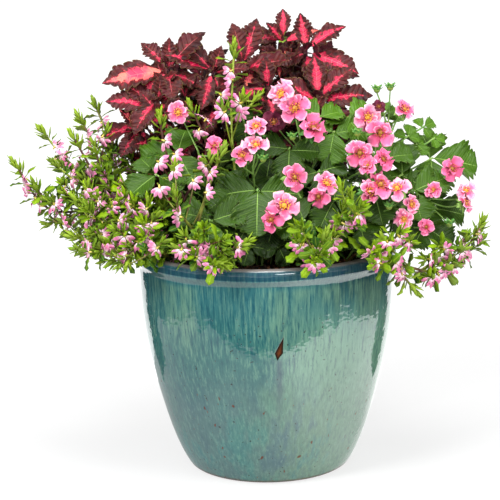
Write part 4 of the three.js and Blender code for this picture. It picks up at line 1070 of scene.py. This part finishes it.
def stage(name, bm, finish, reflectedOnly=True):
    piece = placed(name, keepMesh(bm, name))
    piece.data.materials.append(finish)
    if reflectedOnly:
        piece.visible_camera = piece.visible_diffuse = piece.visible_shadow = piece.visible_transmission = False


def sheet(x0, y0, x1, y1, height):
    bm = bmesh.new()
    bmesh.ops.create_grid(bm, x_segments=1, y_segments=1, size=0.5)
    bmesh.ops.scale(bm, vec=(x1 - x0, y1 - y0, 1), verts=bm.verts)
    bmesh.ops.translate(bm, vec=((x0 + x1) / 2, (y0 + y1) / 2, height), verts=bm.verts)
    return bm


def makeStudio():
    table = [side * studio["floor"] for side in (-1, -1, 1, 1)]
    glow = studio["glow"]
    g = Board("floorWhite")
    x, y, _ = g.parts(g.place())
    far = ((x * x + y * y) ** 0.5).rising(*studio["floorNear"])
    pale = g.surface("767676", 0.9, Emission_Color=g.blend(far, "dcdcdc", "ffffff"),
                     Emission_Strength=studio["floorGlow"])
    stage("floor", sheet(*table, 0), pale, False)
    white = Board("brightTable").surface("fcfcfc", 0.9, Emission_Color="ffffff", Emission_Strength=glow)
    stage("brightTable", sheet(*table, 0.0005), white)
    g = Board("dimTable")
    bright = g.parts(g.place())[0].rising(*studio["dimEdge"])
    dim = g.surface(g.blend(bright, "9c9c9c", "fcfcfc"), 1.0, Emission_Color=g.blend(bright, "a8a8a8", "ffffff"),
                    Emission_Strength=glow)
    stage("dimTable", sheet(*studio["dim"], 0.001), dim)
    black = Board("darkRoom").surface("101214", 1.0)
    for i, corners in enumerate(studio["dark"]):
        stage(f"darkRoom{i}", sheet(*corners, 0.002), black)
    for side in (-1, 1):
        bm = bmesh.new()
        foot = bm.edges.new([bm.verts.new((side * x, y, 0.003)) for x, y in studio["cardFoot"]])
        top = vertsOf(bmesh.ops.extrude_edge_only(bm, edges=[foot]))
        bmesh.ops.translate(bm, vec=up * studio["cardHeight"], verts=top)
        stage(f"flag{side + 1}", bm, black)
    scene.world = bpy.data.worlds.new("studio")
    scene.world.use_nodes = True
    light = scene.world.node_tree.nodes["Background"]
    light.inputs["Color"].default_value = colour("ffffff")
    light.inputs["Strength"].default_value = studio["world"]
    for i, (place, size, power) in enumerate(studio["lamps"]):
        data = bpy.data.lights.new(f"softbox{i}", "AREA")
        data.shape = "RECTANGLE"
        data.size, data.size_y = size
        data.energy = power
        lamp = placed(f"softbox{i}", data)
        lamp.visible_camera = False
        aim = (Vector(studio["aim"]) - Vector(place)).to_track_quat("-Z", "Y").to_matrix().to_4x4()
        lamp.matrix_world = Matrix.Translation(place) @ aim
    scene.view_settings.view_transform = "Standard"


addCamera()
makeStudio()
makePot()
makeSoil()
makeColeus()
makeStrawberry()
makeFanFlower()
